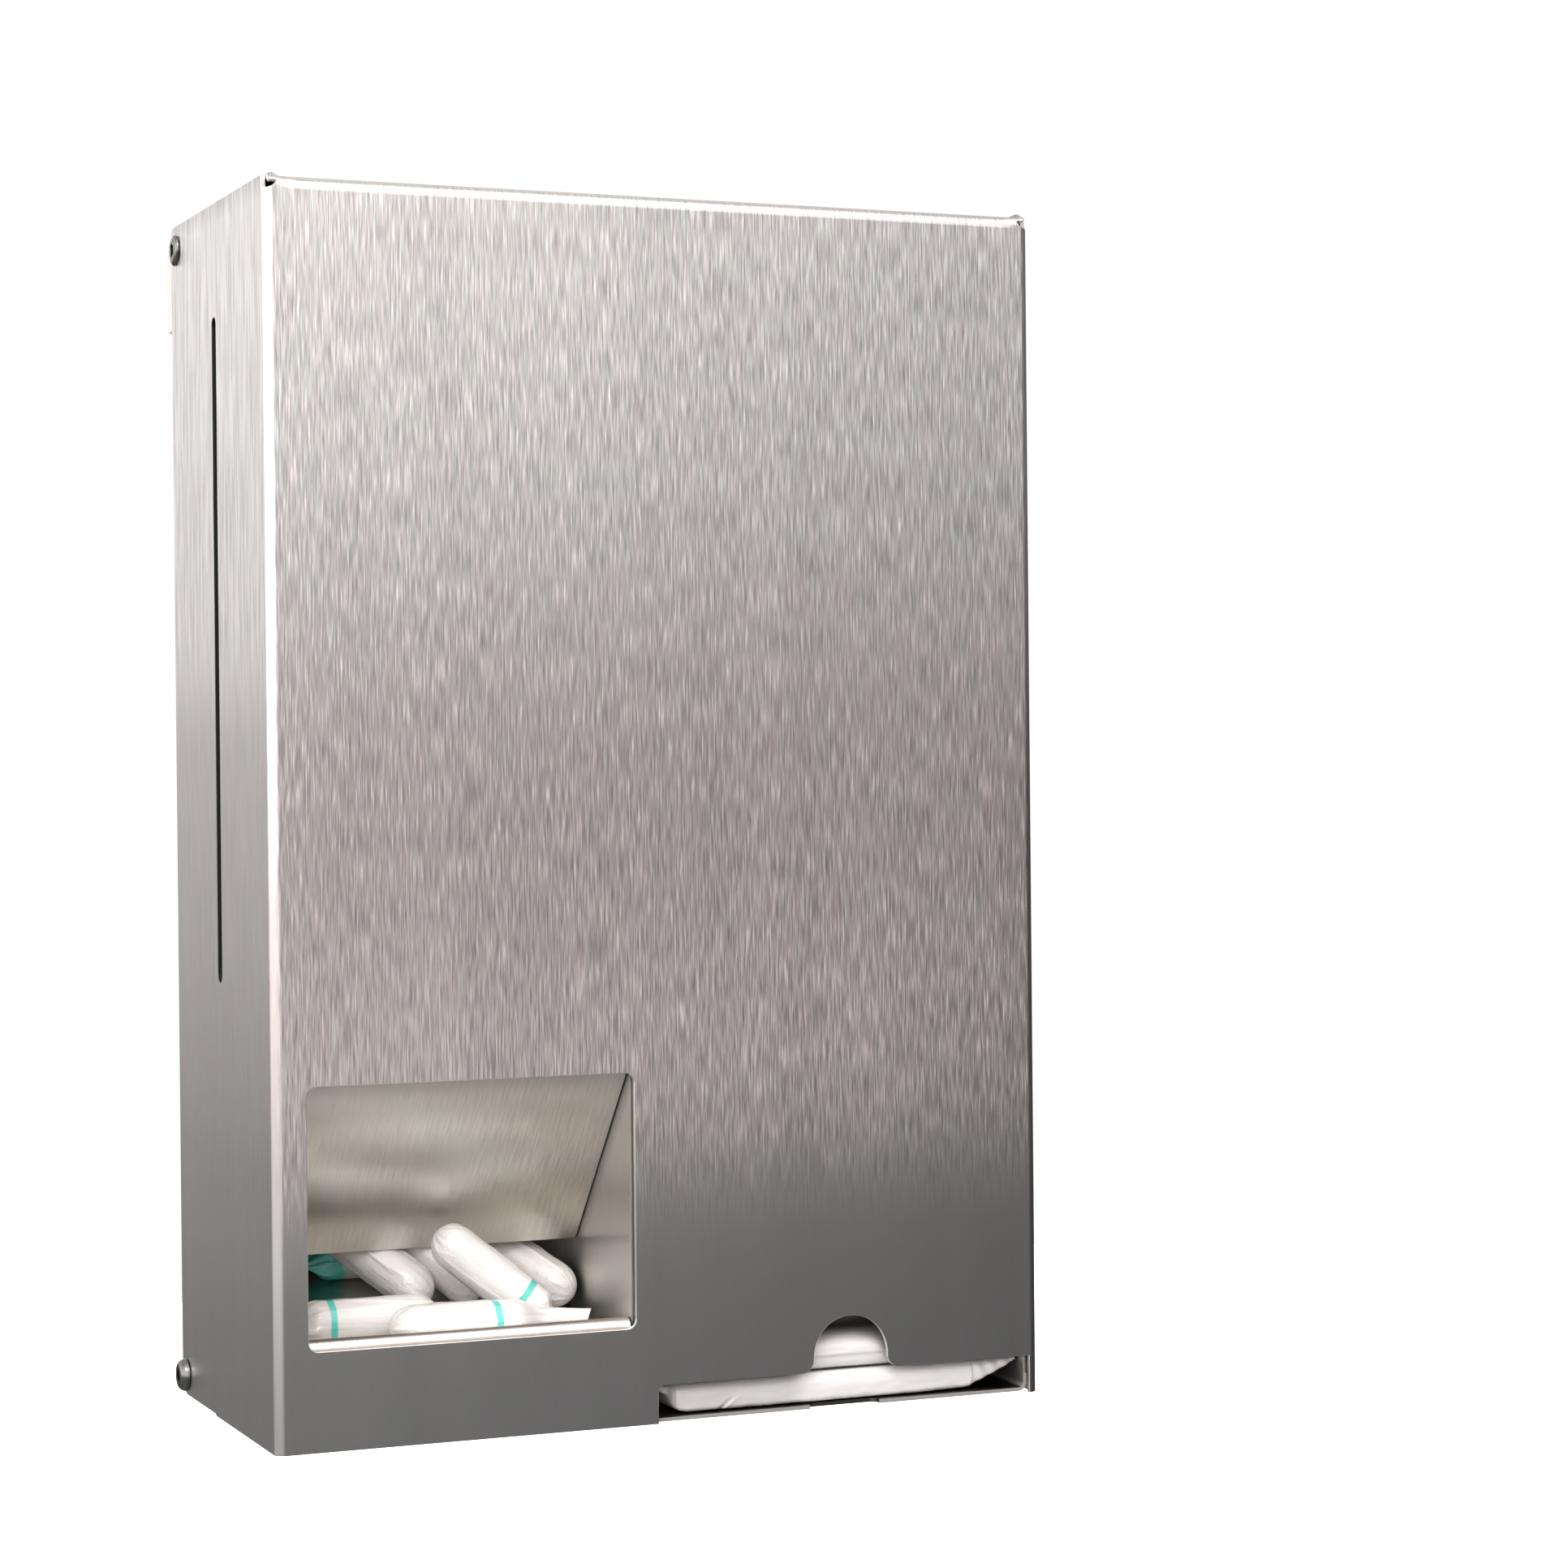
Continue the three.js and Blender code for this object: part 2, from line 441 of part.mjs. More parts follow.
// ---------------------------------------------------------------- tampons lying in the tray
{
  const lathe = () => {
    const pts = [[0, 0]];
    for (let i = 1; i <= 6; i++) {
      const a = (Math.PI / 2) * (i / 6);
      pts.push([TAMPON_R * Math.sin(a), 9.0 * (1 - Math.cos(a))]);
    }
    pts.push([TAMPON_R, 35], [TAMPON_R - 0.8, 40.5], [4.2, TAMPON_CORE - 1], [0, TAMPON_CORE]);
    return new THREE.LatheGeometry(pts.map((q) => new THREE.Vector2(q[0], q[1])), 14);
  };
  const UP = new THREE.Vector3(0, 1, 0);
  // name, tip, direction from tip to tail, tail direction, tail length, direction of the tail's flat width
  const list = [
    [1, [39.8, 16.2, 32.7], [1, 0, -0.017], [1, 0, -0.05], 23, [0, 0.15, 1]],
    [2, [60.7, 31.8, 33.4], [-1, 0, 0.0], [-1, 0.1, -0.05], 11, [0, 1, 0.6]],
    [3, [61.7, 38.3, 58.6], [0.734, -0.228, -0.64], [0.925, -0.335, -0.175], 20, [0.3, 1, 0]],
    [4, [110.0, 46.8, 34.2], [-0.608, 0.648, 0.459], [-0.608, 0.648, 0.459], 22, [1, 0.9, 0]],
    [5, [62.2, 46.5, 36.4], [-0.606, 0.600, 0.522], [-0.606, 0.600, 0.522], 22, [1, 0.9, 0]],
    [6, [79.8, 49.6, 35.9], [-0.600, 0.524, 0.604], [-0.600, 0.524, 0.604], 22, [1, 1, 0]],
    [7, [79.0, 85.0, 46.1], [-1, 0, 0], [-1, 0, -0.05], 22, [0, 1, 0.4]],
    [8, [47.0, 101.0, 52.6], [1, 0, 0], [1, 0, -0.05], 22, [0, 1, 0.4]],
  ];
  for (const [n, tip, dir, tdir, tl, wdir] of list) {
    const d = new THREE.Vector3(...dir).normalize();
    const q = new THREE.Quaternion().setFromUnitVectors(UP, d);
    const core = lathe();
    core.applyQuaternion(q);
    core.translate(...tip);
    let body = solid(core);
    // flattened end of the wrapper
    const start = new THREE.Vector3(...tip).addScaledVector(d, 40.5);
    const t = new THREE.Vector3(...tdir).normalize();
    const w = new THREE.Vector3(...wdir);
    w.addScaledVector(t, -w.dot(t)).normalize();
    const k = new THREE.Vector3().crossVectors(t, w);
    const wedge = new THREE.ExtrudeGeometry(
      new THREE.Shape([[0, -4.6], [tl, -3.6], [tl, 3.6], [0, 4.6]].map((p) => new THREE.Vector2(...p))),
      { depth: 2.4, bevelEnabled: false },
    );
    wedge.translate(0, 0, -1.2);
    wedge.applyMatrix4(new THREE.Matrix4().makeBasis(t, w, k));
    wedge.translate(start.x, start.y, start.z);
    body = body.add(solid(wedge));
    add(`tampon_${n}`, body, WRAP());
  }
}

export default model;
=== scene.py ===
import bpy, bmesh, json, math
import numpy as np
from mathutils import Vector, Matrix, noise
from mathutils.geometry import delaunay_2d_cdt

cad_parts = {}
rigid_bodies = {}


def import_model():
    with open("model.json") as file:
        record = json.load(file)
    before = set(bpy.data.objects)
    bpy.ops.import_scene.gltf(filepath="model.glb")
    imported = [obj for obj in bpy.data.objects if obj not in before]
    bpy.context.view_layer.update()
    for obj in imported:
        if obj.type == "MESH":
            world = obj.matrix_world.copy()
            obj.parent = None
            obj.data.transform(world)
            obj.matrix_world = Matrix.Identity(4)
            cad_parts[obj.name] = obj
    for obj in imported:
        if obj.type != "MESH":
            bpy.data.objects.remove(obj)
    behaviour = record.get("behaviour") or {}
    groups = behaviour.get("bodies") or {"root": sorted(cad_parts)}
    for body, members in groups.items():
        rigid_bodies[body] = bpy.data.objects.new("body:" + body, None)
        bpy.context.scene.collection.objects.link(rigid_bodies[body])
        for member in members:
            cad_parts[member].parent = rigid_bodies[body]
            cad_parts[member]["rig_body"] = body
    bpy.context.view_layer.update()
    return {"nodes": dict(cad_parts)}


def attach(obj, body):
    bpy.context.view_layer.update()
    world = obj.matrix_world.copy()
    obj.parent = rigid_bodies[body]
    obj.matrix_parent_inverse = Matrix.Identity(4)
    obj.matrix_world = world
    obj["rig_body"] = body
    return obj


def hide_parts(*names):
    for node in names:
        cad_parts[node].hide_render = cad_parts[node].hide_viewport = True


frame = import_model()
NODES = frame["nodes"]
scene = bpy.context.scene

# Working coordinates are millimetres from the lower left corner of the front panel, as in the CAD.
W, D, H, T = 252.6, 118.4, 380.0, 1.5
OFF = np.array([126.3, 128.4, 360.6])


def M(p):
    """Working millimetres to the row frame in metres."""
    return (np.asarray(p, float) - OFF) / 1000.0


# ------------------------------------------------------------------ mesh helpers
def link(name, mesh, mats, body, replaces=()):
    o = bpy.data.objects.new(name, mesh)
    scene.collection.objects.link(o)
    for m in mats if isinstance(mats, (list, tuple)) else [mats]:
        mesh.materials.append(m)
    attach(o, body)
    if replaces:
        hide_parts(*replaces)
    return o


def mesh_from(name, verts_mm, faces, normals=None, mat_index=None, uvs=None):
    me = bpy.data.meshes.new(name)
    me.from_pydata([tuple(v) for v in M(verts_mm)], [], [tuple(int(i) for i in f) for f in faces])
    me.polygons.foreach_set("use_smooth", [True] * len(me.polygons))
    if mat_index is not None:
        me.polygons.foreach_set("material_index", [int(i) for i in mat_index])
    if normals is not None and mat_index is not None:
        # the faces of the sheet and its rims keep their own normals
        seen = {}
        for f, m in zip(me.polygons, mat_index):
            for e in f.edge_keys:
                seen.setdefault(e, []).append((f.index, m))
        flags = []
        for e in me.edges:
            fs = seen[tuple(sorted(e.vertices))]
            flags.append(len(fs) != 2 or fs[0][1] != fs[1][1] or (fs[0][1] >= 1))
        att = me.attributes.new("sharp_edge", "BOOLEAN", "EDGE")
        att.data.foreach_set("value", flags)
    if uvs is not None:
        layer = me.uv_layers.new(name="UVMap")
        idx = np.zeros(len(me.loops), np.int32)
        me.loops.foreach_get("vertex_index", idx)
        layer.data.foreach_set("uv", np.asarray(uvs, np.float32)[idx].ravel())
    me.update()
    if normals is not None:
        me.normals_split_custom_set([tuple(n) for n in normals])
    return me


def add_mod(o, kind, name, **kw):
    m = o.modifiers.new(name, kind)
    for k, v in kw.items():
        setattr(m, k, v)
    return m


def soften(o, bevel=0.00015, angle=35, segments=2):
    """Fine edge radius and flat-looking flats on a sheet or machined piece."""
    o.data.set_sharp_from_angle(angle=math.radians(angle))
    if bevel:
        add_mod(o, "BEVEL", "edge", width=bevel, segments=segments, limit_method="ANGLE", angle_limit=math.radians(angle), harden_normals=True, use_clamp_overlap=True)
    add_mod(o, "WEIGHTED_NORMAL", "flat", keep_sharp=True, weight=60)


def box_uv(bm):
    """Grain runs up the walls and back along the level sheets."""
    for l in list(bm.loops.layers.uv.values()):
        bm.loops.layers.uv.remove(l)
    lay = bm.loops.layers.uv.new("UVMap")
    bm.normal_update()
    for f in bm.faces:
        n = f.normal
        if abs(n.z) > 0.8:
            k = (0, 1)
        elif abs(n.x) > abs(n.y):
            k = (1, 2)
        else:
            k = (0, 2)
        for l in f.loops:
            l[lay].uv = (l.vert.co[k[0]], l.vert.co[k[1]])


def carry(node, mat, bevel=0.00015, angle=35, uv="box", rim=None, foot=1e3):
    """A softened copy of a CAD node that stands for it. Faces turned forward within rim mm of the front, below foot mm, are cut edges."""
    src = NODES[node]
    me = src.data.copy()
    me.name = node + "_fine"
    me.materials.clear()
    if me.has_custom_normals:
        bpy.context.view_layer.objects.active = src
    bm = bmesh.new()
    bm.from_mesh(me)
    bmesh.ops.remove_doubles(bm, verts=bm.verts, dist=2e-6)
    bmesh.ops.dissolve_limit(bm, angle_limit=math.radians(0.4), verts=bm.verts, edges=bm.edges)
    for f in bm.faces:
        f.smooth = True
    box_uv(bm)
    if foot < 1e3:
        bmesh.ops.bisect_plane(bm, geom=list(bm.verts) + list(bm.edges) + list(bm.faces), plane_co=(0, 0, (foot - OFF[2]) / 1000), plane_no=(0, 0, 1))
    if rim is not None:
        for f in bm.faces:
            if f.normal.y < -0.9 and f.calc_center_median().y * 1000 + OFF[1] < rim and f.calc_center_median().z * 1000 + OFF[2] < foot:
                f.material_index = 1
    if rim is not None and len(mat) > 2:
        # the edge of the finger notch lies back in shade
        for f in bm.faces:
            c = f.calc_center_median() * 1000
            if f.normal.y < -0.15 and rim < c.y + OFF[1] < 9.0 and c.z + OFF[2] < foot:
                f.material_index = 2
    bm.to_mesh(me)
    bm.free()
    try:
        me.normals_split_custom_set([(0, 0, 0)] * len(me.loops))
    except Exception:
        pass
    body = src["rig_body"]
    o = link(node + "_fine", me, mat, body, [node])
    soften(o, bevel, angle)
    return o


# ------------------------------------------------------------------ materials
def new_mat(name):
    m = bpy.data.materials.new(name)
    m.use_nodes = True
    nt = m.node_tree
    for n in list(nt.nodes):
        nt.nodes.remove(n)
    out = nt.nodes.new("ShaderNodeOutputMaterial")
    b = nt.nodes.new("ShaderNodeBsdfPrincipled")
    nt.links.new(b.outputs[0], out.inputs["Surface"])
    return m, nt, b


def nd(nt, kind, **kw):
    n = nt.nodes.new(kind)
    for k, v in kw.items():
        setattr(n, k, v)
    return n


def ramp(nt, src, stops, interp="LINEAR"):
    r = nd(nt, "ShaderNodeValToRGB")
    r.color_ramp.interpolation = interp
    els = r.color_ramp.elements
    while len(els) < len(stops):
        els.new(0.5)
    for e, (p, c) in zip(els, stops):
        e.position = p
        e.color = (c, c, c, 1) if isinstance(c, (int, float)) else (*c, 1)
    nt.links.new(src, r.inputs["Fac"])
    return r


def maprange(nt, src, a, b, c, d):
    n = nd(nt, "ShaderNodeMapRange")
    n.inputs["From Min"].default_value = a
    n.inputs["From Max"].default_value = b
    n.inputs["To Min"].default_value = c
    n.inputs["To Max"].default_value = d
    nt.links.new(src, n.inputs["Value"])
    return n


def noise_tex(nt, vec, scale, detail=4, rough=0.55, dims="3D"):
    n = nd(nt, "ShaderNodeTexNoise", noise_dimensions=dims)
    n.inputs["Scale"].default_value = scale
    n.inputs["Detail"].default_value = detail
    n.inputs["Roughness"].default_value = rough
    if vec is not None:
        nt.links.new(vec, n.inputs["Vector"])
    return n


def mapping(nt, vec, scale, loc=(0, 0, 0), rot=(0, 0, 0)):
    n = nd(nt, "ShaderNodeMapping")
    n.inputs["Scale"].default_value = scale
    n.inputs["Location"].default_value = loc
    n.inputs["Rotation"].default_value = rot
    nt.links.new(vec, n.inputs["Vector"])
    return n


def mixcol(nt, fac, a, b, blend="MIX"):
    n = nd(nt, "ShaderNodeMix", data_type="RGBA", blend_type=blend)
    for key, v in ((0, fac), (6, a), (7, b)):
        if isinstance(v, (int, float)):
            n.inputs[key].default_value = v
        elif isinstance(v, tuple):
            n.inputs[key].default_value = (*v, 1)
        else:
            nt.links.new(v, n.inputs[key])
    return n.outputs[2]


def vmath(nt, op, a, b=None):
    n = nd(nt, "ShaderNodeVectorMath", operation=op)
    for k, v in enumerate((a, b)):
        if v is None:
            continue
        if isinstance(v, tuple):
            n.inputs[k].default_value = v
        elif op == "SCALE" and k == 1:
            if isinstance(v, (int, float)):
                n.inputs["Scale"].default_value = v
            else:
                nt.links.new(v, n.inputs["Scale"])
        else:
            nt.links.new(v, n.inputs[k])
    return n.outputs[0]


def fmath(nt, op, a, b=None, c=None):
    n = nd(nt, "ShaderNodeMath", operation=op)
    for k, v in enumerate((a, b, c)):
        if v is None:
            continue
        if isinstance(v, (int, float)):
            n.inputs[k].default_value = v
        else:
            nt.links.new(v, n.inputs[k])
    return n.outputs[0]


def brushed(name, color=(0.592, 0.590, 0.586), rough=0.165, aniso=1.0, grain=0.50, tone=0.06, warp=0.0, wide=0.30, share=0.28, scale=1.0, calm=None, deep=None, tint=0.0, flank=0.0):
    """Brushed sheet. U of the UV map runs across the grain, V along it, both in metres.
    The scratches turn the normal across the grain only, so reflections smear sideways and stay crisp along it.
    A second, wider lobe stands for the finest scratches. calm: heights between which the grain fades out downwards, and
    below which a painted shade, lighter at the left and darker at the right, lies along the foot.
    deep: reach in metres of the painted shade, from ambient occlusion, in corners."""
    m, nt, b = new_mat(name)
    uv = nd(nt, "ShaderNodeUVMap", uv_map="UVMap").outputs[0]
    sep = nd(nt, "ShaderNodeSeparateXYZ")
    nt.links.new(uv, sep.inputs[0])
    fine = noise_tex(nt, mapping(nt, uv, (1900 * scale, 84, 1)).outputs[0], 1.0, 1, 0.5, "2D")
    mid = noise_tex(nt, mapping(nt, uv, (2900 * scale, 130, 1), (3, 7, 0)).outputs[0], 1.0, 1, 0.5, "2D")
    broad = noise_tex(nt, mapping(nt, uv, (60, 4.0, 1), (11, 2, 0)).outputs[0], 1.0, 3, 0.5, "2D")
    streak = fmath(nt, "ADD", fmath(nt, "MULTIPLY", fine.outputs[0], 0.55), fmath(nt, "MULTIPLY", mid.outputs[0], 0.45))
    level = fmath(nt, "SUBTRACT", streak, 0.5)
    if calm:
        keep = maprange(nt, sep.outputs["Y"], calm[0], calm[1], 0.22, 1.0).outputs[0]
        level = fmath(nt, "MULTIPLY", level, keep)
        level = fmath(nt, "MULTIPLY", level, maprange(nt, sep.outputs["Y"], calm[1], 0.20, 0.74, 1.0).outputs[0])
    shown = fmath(nt, "ADD", level, 0.5)
    r = ramp(nt, shown, [(0.36, tuple(c * (1 - tone) for c in color)), (0.5, color), (0.64, tuple(min(1, c * (1 + tone)) for c in color))])
    r2 = ramp(nt, broad.outputs[0], [(0.3, 0.985), (0.7, 1.015)])
    col = mixcol(nt, 1.0, r.outputs[0], r2.outputs[0], "MULTIPLY")
    if tint:
        # faint colour drift in the finish
        hue = noise_tex(nt, mapping(nt, uv, (420, 60, 1), (5, 9, 0)).outputs[0], 1.0, 2, 0.5, "2D")
        r3 = ramp(nt, hue.outputs[0], [(0.36, (1 - tint, 1.0 + 0.4 * tint, 1 - tint * 0.4)), (0.64, (1 + tint, 1 - tint * 0.6, 1 - tint * 0.1))])
        col = mixcol(nt, 1.0, col, r3.outputs[0], "MULTIPLY")
    if calm:
        # painted shade along the foot: the lower zone is a little lighter at the left and darker towards the right
        away = fmath(nt, "SUBTRACT", 1.0, maprange(nt, sep.outputs["Y"], calm[0], calm[1], 0.0, 1.0).outputs[0])
        lean = maprange(nt, sep.outputs["X"], 0.0, 0.2526, 0.14, -0.16).outputs[0]
        k = fmath(nt, "ADD", 1.0, fmath(nt, "MULTIPLY", away, lean))
        foot_shade = nd(nt, "ShaderNodeCombineXYZ")
        for q in range(3):
            nt.links.new(k, foot_shade.inputs[q])
        col = mixcol(nt, 1.0, col, foot_shade.outputs[0], "MULTIPLY")
    if flank:
        # coarser scratches on the folded sides, and the soft shade along their upper edge
        band = fmath(nt, "ABSOLUTE", fmath(nt, "SUBTRACT", sep.outputs["X"], 0.1263))
        on = maprange(nt, band, 0.1278, 0.1290, 0.0, 1.0).outputs[0]
        coarse = noise_tex(nt, mapping(nt, uv, (480, 30, 1), (2, 5, 0)).outputs[0], 1.0, 2, 0.6, "2D")
        amount = fmath(nt, "MULTIPLY", on, maprange(nt, sep.outputs["Y"], 0.222, 0.246, 0.30, 1.0).outputs[0])
        amount = fmath(nt, "MULTIPLY", amount, maprange(nt, sep.outputs["Y"], 0.06, 0.16, 0.2, 1.0).outputs[0])
        swing = fmath(nt, "MULTIPLY", maprange(nt, coarse.outputs[0], 0.34, 0.66, -flank, flank).outputs[0], amount)
        edge = fmath(nt, "MULTIPLY", on, maprange(nt, sep.outputs["Y"], 0.3735, 0.3795, 0.0, -0.22).outputs[0])
        k2 = fmath(nt, "ADD", 1.0, fmath(nt, "ADD", swing, edge))
        grey2 = nd(nt, "ShaderNodeCombineXYZ")
        for q in range(3):
            nt.links.new(k2, grey2.inputs[q])
        col = mixcol(nt, 1.0, col, grey2.outputs[0], "MULTIPLY")
    if deep:
        # painted shade: ambient occlusion darkens the colour in corners and recesses
        ao = nd(nt, "ShaderNodeAmbientOcclusion")
        ao.samples = 8
        ao.inputs["Distance"].default_value = deep
        shade = ramp(nt, ao.outputs["AO"], [(0.12, 0.15), (0.40, 0.38), (0.74, 1.0)])
        col = mixcol(nt, 1.0, col, shade.outputs[0], "MULTIPLY")
    tan = nd(nt, "ShaderNodeTangent", direction_type="UV_MAP", uv_map="UVMap").outputs[0]
    nrm = nd(nt, "ShaderNodeNewGeometry").outputs["Normal"]
    crest = fmath(nt, "MULTIPLY", fmath(nt, "MAXIMUM", fmath(nt, "SUBTRACT", level, 0.07), 0.0), 0.5)
    wave = fmath(nt, "MULTIPLY", fmath(nt, "SUBTRACT", broad.outputs[0], 0.5), 0.08)
    across = fmath(nt, "MULTIPLY", fmath(nt, "ADD", fmath(nt, "ADD", level, crest), wave), -grain)
    turned = vmath(nt, "ADD", nrm, vmath(nt, "SCALE", tan, across))
    if warp:
        # slight twist left in the sheet by folding
        q = maprange(nt, sep.outputs["X"], 0.0, 0.2526, warp, -warp).outputs[0]
        turned = vmath(nt, "ADD", turned, vmath(nt, "SCALE", vmath(nt, "CROSS_PRODUCT", nrm, tan), q))
    turned = vmath(nt, "NORMALIZE", turned)
    b2 = nd(nt, "ShaderNodeBsdfPrincipled")
    for sh, ro in ((b, rough), (b2, wide)):
        nt.links.new(col, sh.inputs["Base Color"])
        sh.inputs["Metallic"].default_value = 1.0
        nt.links.new(maprange(nt, streak, 0.3, 0.7, ro * 1.05, ro * 0.95).outputs[0], sh.inputs["Roughness"])
        sh.inputs["Anisotropic"].default_value = aniso
        nt.links.new(tan, sh.inputs["Tangent"])
        nt.links.new(turned, sh.inputs["Normal"])
    mix = nd(nt, "ShaderNodeMixShader")
    mix.inputs[0].default_value = share
    nt.links.new(b.outputs[0], mix.inputs[1])
    nt.links.new(b2.outputs[0], mix.inputs[2])
    out = [n for n in nt.nodes if n.type == "OUTPUT_MATERIAL"][0]
    nt.links.new(mix.outputs[0], out.inputs["Surface"])
    return m


def plain_metal(name, color, rough, spread=0.12, scale=180, stretch=(1, 1, 1), bump=0.02):
    m, nt, b = new_mat(name)
    tc = nd(nt, "ShaderNodeTexCoord").outputs["Object"]
    n1 = noise_tex(nt, mapping(nt, tc, stretch).outputs[0], scale, 4, 0.6)
    n2 = noise_tex(nt, tc, 35, 3, 0.5)
    c = mixcol(nt, maprange(nt, n2.outputs[0], 0.35, 0.65, 0.0, 1.0).outputs[0], tuple(x * (1 - spread * 0.4) for x in color), color)
    nt.links.new(c, b.inputs["Base Color"])
    b.inputs["Metallic"].default_value = 1.0
    nt.links.new(maprange(nt, n1.outputs[0], 0.3, 0.7, rough * (1 - spread), rough * (1 + spread)).outputs[0], b.inputs["Roughness"])
    bp = nd(nt, "ShaderNodeBump")
    bp.inputs["Strength"].default_value = bump
    bp.inputs["Distance"].default_value = 0.0001
    nt.links.new(n1.outputs[0], bp.inputs["Height"])
    nt.links.new(bp.outputs[0], b.inputs["Normal"])
    return m


def plastic(name, color, rough, scale=400, bump=0.05, spec=0.5):
    m, nt, b = new_mat(name)
    tc = nd(nt, "ShaderNodeTexCoord").outputs["Object"]
    n1 = noise_tex(nt, tc, scale, 3, 0.6)
    n2 = noise_tex(nt, tc, 40, 3, 0.5)
    c = mixcol(nt, n2.outputs[0], tuple(x * 0.95 for x in color), color)
    nt.links.new(c, b.inputs["Base Color"])
    nt.links.new(maprange(nt, n1.outputs[0], 0.3, 0.7, rough * 0.85, min(1, rough * 1.15)).outputs[0], b.inputs["Roughness"])
    b.inputs["Specular IOR Level"].default_value = spec
    bp = nd(nt, "ShaderNodeBump")
    bp.inputs["Strength"].default_value = bump
    bp.inputs["Distance"].default_value = 0.0002
    nt.links.new(n1.outputs[0], bp.inputs["Height"])
    nt.links.new(bp.outputs[0], b.inputs["Normal"])
    return m


STEEL = brushed("brushed_steel", warp=0.0056, calm=(0.058, 0.084), tint=0.016, flank=0.19)
CUT = plain_metal("cut_edge", (0.72, 0.71, 0.70), 0.32, scale=900)
# painted highlight: the front edge of the magazine floor is a dull grey non-metal, so that it reads as a light line
EDGE = plastic("edge_polished", (0.27, 0.263, 0.253), 0.35, scale=900)
# painted shade: near-black steel for edges that lie back in shade
SHADED = plain_metal("edge_shaded", (0.075, 0.077, 0.07), 0.4, scale=900)
# painted shade: the screw heads get a near-black steel colour that stands in for the dark surroundings they reflect
SCREW = plain_metal("screw_steel", (0.17, 0.175, 0.17), 0.2, scale=500)
INNER = brushed("inner_steel", (0.70, 0.68, 0.645), rough=0.26, aniso=0.9, grain=0.3, tone=0.03, wide=0.42, share=0.5)
# the magazine copy carries painted shade from ambient occlusion in its corners
MAGAZINE = brushed("magazine_steel", (0.70, 0.68, 0.645), rough=0.26, aniso=0.9, grain=0.3, tone=0.03, wide=0.42, share=0.5, deep=0.014)
BRIGHT = plain_metal("bright_steel", (0.74, 0.73, 0.72), 0.16, scale=500)
ALU = plain_metal("rivet_aluminium", (0.66, 0.67, 0.69), 0.35, scale=700)
WHITE = plastic("white_plastic", (0.70, 0.685, 0.655), 0.42)
NYLON = plastic("nylon", (0.86, 0.86, 0.82), 0.5)
RUBBER = plastic("black_rubber", (0.022, 0.022, 0.024), 0.75, scale=900, bump=0.2, spec=0.3)


# ------------------------------------------------------------------ front cover
WIN = dict(x0=10.3, x1=114.1, z0=30.1, z1=109.1, r=3.0)
RO, RT = 3.0, 4.3
Q = math.pi / 2 * RO


def arc(cx, cy, r, a0, a1, n, ry=None):
    return [(cx + r * math.cos(a0 + (a1 - a0) * i / n), cy + (ry or r) * math.sin(a0 + (a1 - a0) * i / n)) for i in range(n + 1)]


def uL(y):
    return RO - Q - (y - RO)


def cover_point(u, v, d):
    """Point and outward normal on the folded blank at depth d under its outer face."""
    edge = min(u, W - u)
    # the fold is tighter beside the corner reliefs
    k = min(1.0, max(0.0, (edge - 3.4) / 3.1))
    ro = RO + (RT - RO) * k * k * (3 - 2 * k)
    if v > H - ro and edge > 1.0:
        t = v - (H - ro)
        q = math.pi / 2 * ro
        lift = 0.85 * math.exp(-(((edge - 3.1) / 1.5) ** 2))
        if t < q:
            b = t / ro
            x = min(1.0, max(0.0, (b - 0.28) / 1.05))
            r = ro - d + lift * x * x * (3 - 2 * x)
            return (u, ro - r * math.cos(b), H - ro + r * math.sin(b)), (0, -math.cos(b), math.sin(b))
        y = ro + (t - q) * (D - ro) / (497.1 - (H - ro) - q)
        return (u, y, H - d + lift * math.exp(-(((t - q) / 1.5) ** 2))), (0, 0, 1)
    m = u > W / 2
    uu = W - u if m else u
    if uu >= RO:
        x, y, n = uu, d, (0, -1, 0)
    else:
        s = RO - uu
        if s < Q:
            a = s / RO
            x, y, n = RO - (RO - d) * math.sin(a), RO - (RO - d) * math.cos(a), (-math.sin(a), -math.cos(a), 0)
        else:
            x, y, n = d, RO + (s - Q), (-1, 0, 0)
    if m:
        x, n = W - x, (-n[0], n[1], n[2])
    return (x, y, v), n


